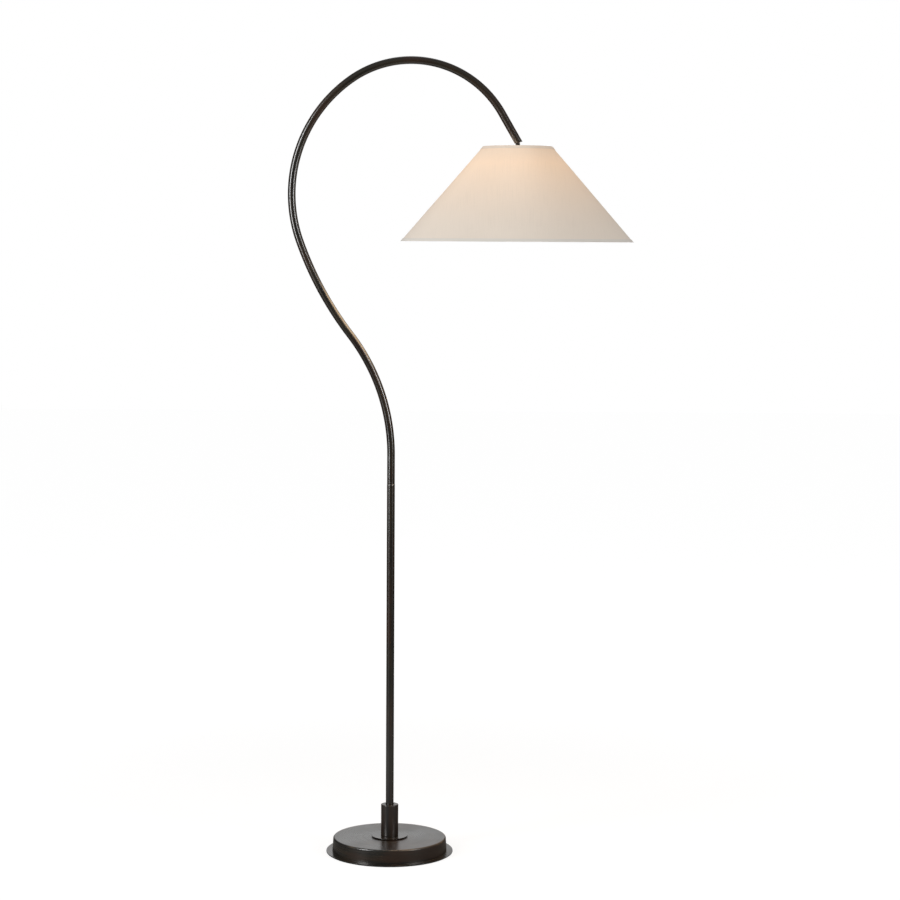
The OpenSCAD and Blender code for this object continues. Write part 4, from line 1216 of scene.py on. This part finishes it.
class LAMP_OT_holder(bpy.types.Operator):
    """Draws the lampholder's cap and shell and fits its rotary switch"""
    bl_idname = "lamp.holder"
    bl_label = "Lampholder"

    def execute(self, context):
        self.cap()
        self.shell()
        self.switch()
        paint("zinc_plate", "cap_set_screw", "switch_shaft")
        paint("pressed_fibre", "holder_liner")
        paint("black_resin", "holder_body")
        paint("dull_brass", "terminal_screws", "screw_shell", "centre_contact")
        return {"FINISHED"}

    def cap(self):
        """A drawn dome with a short neck."""
        foot, top, r = upright("holder_cap")
        shoulder = top - 5 * MM
        neck, sheet = 8.5 * MM, 0.8 * MM
        bore = radius_of("tip_nipple") + 0.05 * MM
        made = turned("holder_cap_drawn", [
            (r, foot, 0.3 * MM, 0.7), (r, shoulder, 12 * MM, 0.1), (neck, shoulder, 0.6 * MM),
            (neck, top, 0.6 * MM, 0.8), (bore, top), (bore, shoulder - sheet),
            (r - sheet, shoulder - sheet, 11 * MM), (r - sheet, foot, 0.1 * MM),
        ], SHADE_X, sides=96, steps=8, closed=True)
        fit(made, ARM, "holder_bronze", "aged_bronze", "holder_cap")

    def shell(self):
        """A drawn shell with a beaded mouth and two pressed grooves."""
        foot, top, bead = upright("holder_shell")
        r = radius_of("holder_liner") + 0.65 * MM
        sheet = 0.6 * MM
        corners = [
            (r - sheet, foot + 0.4 * MM), (r - 0.2 * MM, foot, 0.2 * MM, 0.4),
            (bead, foot + 0.9 * MM, 0.5 * MM, 0.9), (r, foot + 1.9 * MM, 0.2 * MM)]
        for level in (foot + 6 * MM, foot + 9 * MM):
            corners += [
                (r, level - 0.8 * MM, 0.2 * MM, 0.3), (r - 0.5 * MM, level, 0.4 * MM),
                (r, level + 0.8 * MM, 0.2 * MM, 0.3)]
        corners += [(r, top), (r - sheet, top)]
        made = turned("holder_shell_drawn", corners, SHADE_X, sides=96, steps=3, closed=True)
        fit(made, ARM, "holder_bronze", "aged_bronze", "holder_shell")

    def switch(self):
        """A threaded bush, and a blade knob with ribbed faces."""
        middle = (high("switch_knob").z + low("switch_knob").z) / 2
        lie_down = laid((SHADE_X, 0, middle), pi / 2)
        start, end = -high("switch_bush").y, -low("switch_bush").y
        bush = threaded(
            "switch_bush_threaded", "dull_brass", 4 * MM, 1.66 * MM, start, end,
            0.8 * MM, 0.35 * MM)
        bush.data.transform(lie_down)
        fit(bush, ARM, "brass", "dull_brass", "switch_bush")
        start, end = -high("switch_knob").y, -low("switch_knob").y
        wide = high("switch_knob").x - low("switch_knob").x
        bore, foot_r, thick = 1.7 * MM, 5 * MM, 5 * MM
        shoulder, root = start + 4.5 * MM, start + 3.6 * MM
        foot = turned("foot", [
            (bore, start), (foot_r, start, 0.5 * MM), (foot_r, shoulder, 0.8 * MM),
            (bore, shoulder)], sides=48, closed=True)
        blade = self.blade(root, end, wide / 2, thick / 2)
        knob = merged("switch_knob_moulded", [foot, blade, self.ribs(root, end, thick / 2)])
        knob.data.transform(lie_down)
        fit(knob, SWITCH, "phenolic", "black_resin", "switch_knob")

    def blade(self, start, end, reach, half_thick):
        """A flat blade whose flanks are round, drawn as one soft-edged slab."""
        steps = 14
        vertices = []
        for i in range(steps + 1):
            off = (end - start) * (i / steps - 0.5)
            half = (reach ** 2 - off ** 2) ** 0.5
            vertices += [
                (x, y, start + (end - start) * i / steps) for x, y in (
                    (-half, -half_thick), (half, -half_thick), (half, half_thick), (-half, half_thick))]
        faces = [(0, 1, 2, 3), tuple(4 * steps + k for k in range(4))]
        for i in range(steps):
            for k in range(4):
                here, on = 4 * i + k, 4 * i + (k + 1) % 4
                faces.append((here, on, on + 4, here + 4))
        return soften(shell("blade", vertices, faces), 0.7 * MM, 3)

    def ribs(self, start, end, half_thick):
        """Small round ribs across both faces of the blade."""
        ribs = lamp_sizes().knob_ribs
        shape = Shaper("blade_ribs", count=ribs, ribs=0.28 * MM)
        reach = 5.2 * MM
        bar = shape.sweep(
            shape.line((-reach, 0, 0), (reach, 0, 0)), shape.ring(10, shape.given("ribs")))
        pitch = (end - start - 4 * MM) / ribs
        rows = [
            shape.copies(shape.row(shape.given("count"), (0, face, start + 3 * MM), (0, 0, pitch)), bar)
            for face in (0.1 * MM - half_thick, half_thick - 0.1 * MM)]
        return shape.make("ribs", shape.join(*rows), "black_resin")


class LAMP_OT_bulb(bpy.types.Operator):
    """Blows the bulb's globe and rolls its screw cap"""
    bl_idname = "lamp.bulb"
    bl_label = "Bulb"

    def execute(self, context):
        self.globe()
        bottom, top, radius = upright("bulb_cap")
        cap = threaded(
            "bulb_cap_rolled", "rolled_aluminium", radius, radius - 1.25 * MM, bottom, top,
            lamp_sizes().cap_pitch, 0.8 * MM, SHADE_X)
        fit(cap, ARM, "bulb_cap", "rolled_aluminium", "bulb_cap")
        paint("insulating_glass", "bulb_insulator")
        paint("tinned_solder", "bulb_contact")
        self.light()
        return {"FINISHED"}

    def globe(self):
        """A ball that runs through a hollow curve into the neck."""
        bottom, top, ball = upright("bulb_globe")
        neck = radius_of("bulb_cap") - 0.45 * MM
        mouth = low("bulb_cap").z
        centre = bottom + ball
        corners = [(ball * sin(pi * k / 60), centre - ball * cos(pi * k / 60)) for k in range(41)]
        wide, start = corners[-1]
        for k in range(1, 13):
            share = k / 12
            eased = share * share * (3 - 2 * share)
            r = wide + (neck - wide) * (0.55 * share + 0.45 * eased)
            corners.append((r, start + (mouth - start) * share))
        corners += [(neck, top), (0, top)]
        made = turned("bulb_globe_blown", corners, SHADE_X, sides=96)
        made.visible_shadow = False
        fit(made, ARM, "bulb_glass", "frosted_glass", "bulb_globe")

    def light(self):
        """The bulb's own light, and what leaves the shade by its mouth and by its upper rim."""
        size, hue, studio = lamp_sizes(), lamp_colours(), lamp_studio()
        foot, rim, _ = upright("shade_cover")
        ball = radius_of("bulb_globe")
        bulb = bpy.data.lights.new("bulb_light", "POINT")
        bulb.shadow_soft_size = ball
        self.hang(bulb, hue.bulb_white, studio.bulb, low("bulb_globe").z + ball, 0)
        for name, tint, radius, power, z, tilt in (
                ("mouth_light", hue.lamplight, size.shade_foot_r, studio.mouth, foot, 0),
                ("crown_light", hue.bulb_white, size.shade_top_r, studio.crown, rim, pi)):
            disc = bpy.data.lights.new(name, "AREA")
            disc.shape = "DISK"
            disc.size = 2 * (radius - 8 * MM)
            self.hang(disc, tint, power, z, tilt)

    def hang(self, light, tint, power, z, tilt):
        """Hangs a light on the shade's axis, out of the camera's sight, and lets it ride the arm."""
        light.energy = power
        light.color = tint
        made = new_object(light.name, light)
        made.location = (SHADE_X, 0, z)
        made.rotation_euler = (tilt, 0, 0)
        made.visible_camera = False
        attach(made, ARM)


# Stage

def pale_floor(mat):
    """A pale floor that the camera sees as white, with the lamp's soft shadow kept."""
    x, y, _ = mat.parts(mat.place)
    reach = mat.node("ShaderNodeVectorMath", {"operation": "LENGTH"}, {0: mat.place}, "Value")
    under = mat.ease(y, 0.0, 0.30) * mat.ease(abs(x) - 0.12 * y, 0.05, 0.25, 1.0, 0.0)
    around = mat.ease(reach, 0.33, 0.60) * mat.ease(reach, 0.8, 2.0, 1.0, 0.0)
    around = around * mat.ease(y, -0.15, 0.15, 1.0, 0.0)
    around = around * (0.36 + 0.30 * mat.ease(x, -0.15, -0.45))
    watched = mat.ray("Camera")
    seen = watched + mat.ray("Transmission") + (0.5 * under + around) * mat.ray("Glossy")
    body = mat.node("ShaderNodeBsdfDiffuse", {}, {
        "Color": mat.mix(watched, (0.14, 0.14, 0.14), (0.17, 0.17, 0.17))})
    shine = mat.node(
        "ShaderNodeEmission", {}, {"Strength": seen * mat.ease(reach, 0.6, 2.4, 0.85, 0.94)})
    lit = mat.node("ShaderNodeAddShader", {}, {0: body, 1: shine})
    below = mat.node("ShaderNodeNewGeometry", output="Backfacing")
    clear = mat.node("ShaderNodeBsdfTransparent")
    return mat.end(mat.node("ShaderNodeMixShader", {}, {0: below, 1: lit, 2: clear}))


FINISHES["white_floor"] = (pale_floor,)


class LAMP_OT_stage(bpy.types.Operator):
    """Lays the floor, hangs the soft lamps and sets up the camera"""
    bl_idname = "lamp.stage"
    bl_label = "Stage"

    def execute(self, context):
        self.floor()
        self.sky(context)
        self.lamps()
        self.camera(context)
        context.scene.view_settings.view_transform = "Standard"
        return {"FINISHED"}

    def floor(self):
        """One wide sheet just under the felt."""
        half, drop = 14.0, -0.3 * MM
        made = shell(
            "floor", [(-half, -half, drop), (half, -half, drop), (half, half, drop), (-half, half, drop)],
            [(0, 1, 2, 3)], outward=False)
        made.data.materials.append(finish("white_floor"))

    def sky(self, context):
        """White to the eye; to the lamp, a white backdrop behind it and a dimmer room in front."""
        world = bpy.data.worlds.new("studio")
        world.use_nodes = True
        context.scene.world = world
        sky = Wiring(world.node_tree)
        sky.tree.nodes.clear()
        across, deep, height = sky.parts(sky.node("ShaderNodeTexCoord", output="Generated"))
        overhead = sky.ease(height, 0.10, 0.60)
        front = sky.ease(deep, -0.9, -0.4, 1.0, 0.0)
        room, white = (
            sky.node("ShaderNodeBackground", {}, {"Color": (1, 1, 1), "Strength": strength})
            for strength in (0.035 + 0.07 * front + 0.21 * overhead, 1.0))
        behind = sky.ease(deep, 0.0, 0.3) * (1.0 - sky.ease(abs(across), 0.13, 0.25))
        seen = sky.ray("Camera")
        both = sky.node(
            "ShaderNodeMixShader", {}, {0: seen + behind - seen * behind, 1: room, 2: white})
        sky.node("ShaderNodeOutputWorld", {}, {"Surface": both})

    def lamps(self):
        """A soft lamp at each side with a dim one under it, all aimed level at the stem's axis."""
        studio = lamp_studio()
        for name, x, y, z, wide, tall, power in (
                ("key", -2.5, -1.82, 1.85, 0.65, 2.5, studio.key),
                ("fill", 2.45, -1.7, 1.70, 0.55, 1.5, studio.fill),
                ("low_key", -2.5, -1.82, 0.28, 0.65, 0.40, studio.low),
                ("low_fill", 2.45, -1.7, 0.57, 0.55, 0.70, studio.low)):
            lamp = bpy.data.lights.new(name, "AREA")
            lamp.shape = "RECTANGLE"
            lamp.size = wide
            lamp.size_y = tall
            lamp.energy = power
            made = new_object(name, lamp)
            made.location = (x, y, z)
            made.rotation_euler = Vector((-x, -y, 0)).to_track_quat("-Z", "Y").to_euler()

    def camera(self, context):
        """Stands the camera in front, looking a little down and leaning a little."""
        studio = lamp_studio()
        lens = bpy.data.cameras.new("camera")
        lens.lens = studio.lens
        lens.sensor_width = 36.0
        lens.clip_end = 60.0
        made = new_object("camera", lens)
        ahead = Vector((0, cos(studio.pitch), -sin(studio.pitch)))
        level = Vector((1, 0, 0))
        above = level.cross(ahead)
        right = level * cos(studio.roll) + above * sin(studio.roll)
        up = above * cos(studio.roll) - level * sin(studio.roll)
        facing = Matrix((right, up, -ahead)).transposed().to_4x4()
        made.matrix_world = Matrix.Translation(studio.eye) @ facing
        context.scene.camera = made


PIECES = (
    LAMP_OT_stage, LAMP_OT_base, LAMP_OT_stem, LAMP_OT_arm, LAMP_OT_shade, LAMP_OT_holder,
    LAMP_OT_bulb)
GROUPS = {"lamp_sizes": LampSizes, "lamp_colours": LampColours, "lamp_studio": LampStudio}


class LAMP_PT_panel(bpy.types.Panel):
    """The lamp's pieces, sizes and colours in the 3D view's sidebar"""
    bl_label = "Bridge floor lamp"
    bl_idname = "LAMP_PT_panel"
    bl_space_type = "VIEW_3D"
    bl_region_type = "UI"
    bl_category = "Lamp"

    def draw(self, context):
        for made in PIECES:
            self.layout.operator(made.bl_idname)
        for group in (getattr(context.scene, name) for name in GROUPS):
            box = self.layout.box()
            for name in group.bl_rna.properties.keys():
                if name not in ("rna_type", "name"):
                    box.prop(group, name)


CLASSES = (*GROUPS.values(), *PIECES, LAMP_PT_panel)


def register():
    for made in CLASSES:
        bpy.utils.register_class(made)
    for name, group in GROUPS.items():
        setattr(bpy.types.Scene, name, PointerProperty(type=group))


def unregister():
    for name in GROUPS:
        delattr(bpy.types.Scene, name)
    for made in reversed(CLASSES):
        bpy.utils.unregister_class(made)


def main():
    register()
    bpy.ops.lamp.stage()
    bpy.ops.lamp.base()
    bpy.ops.lamp.stem()
    bpy.ops.lamp.arm()
    bpy.ops.lamp.shade()
    bpy.ops.lamp.holder()
    bpy.ops.lamp.bulb()


if __name__ == "__main__":
    main()
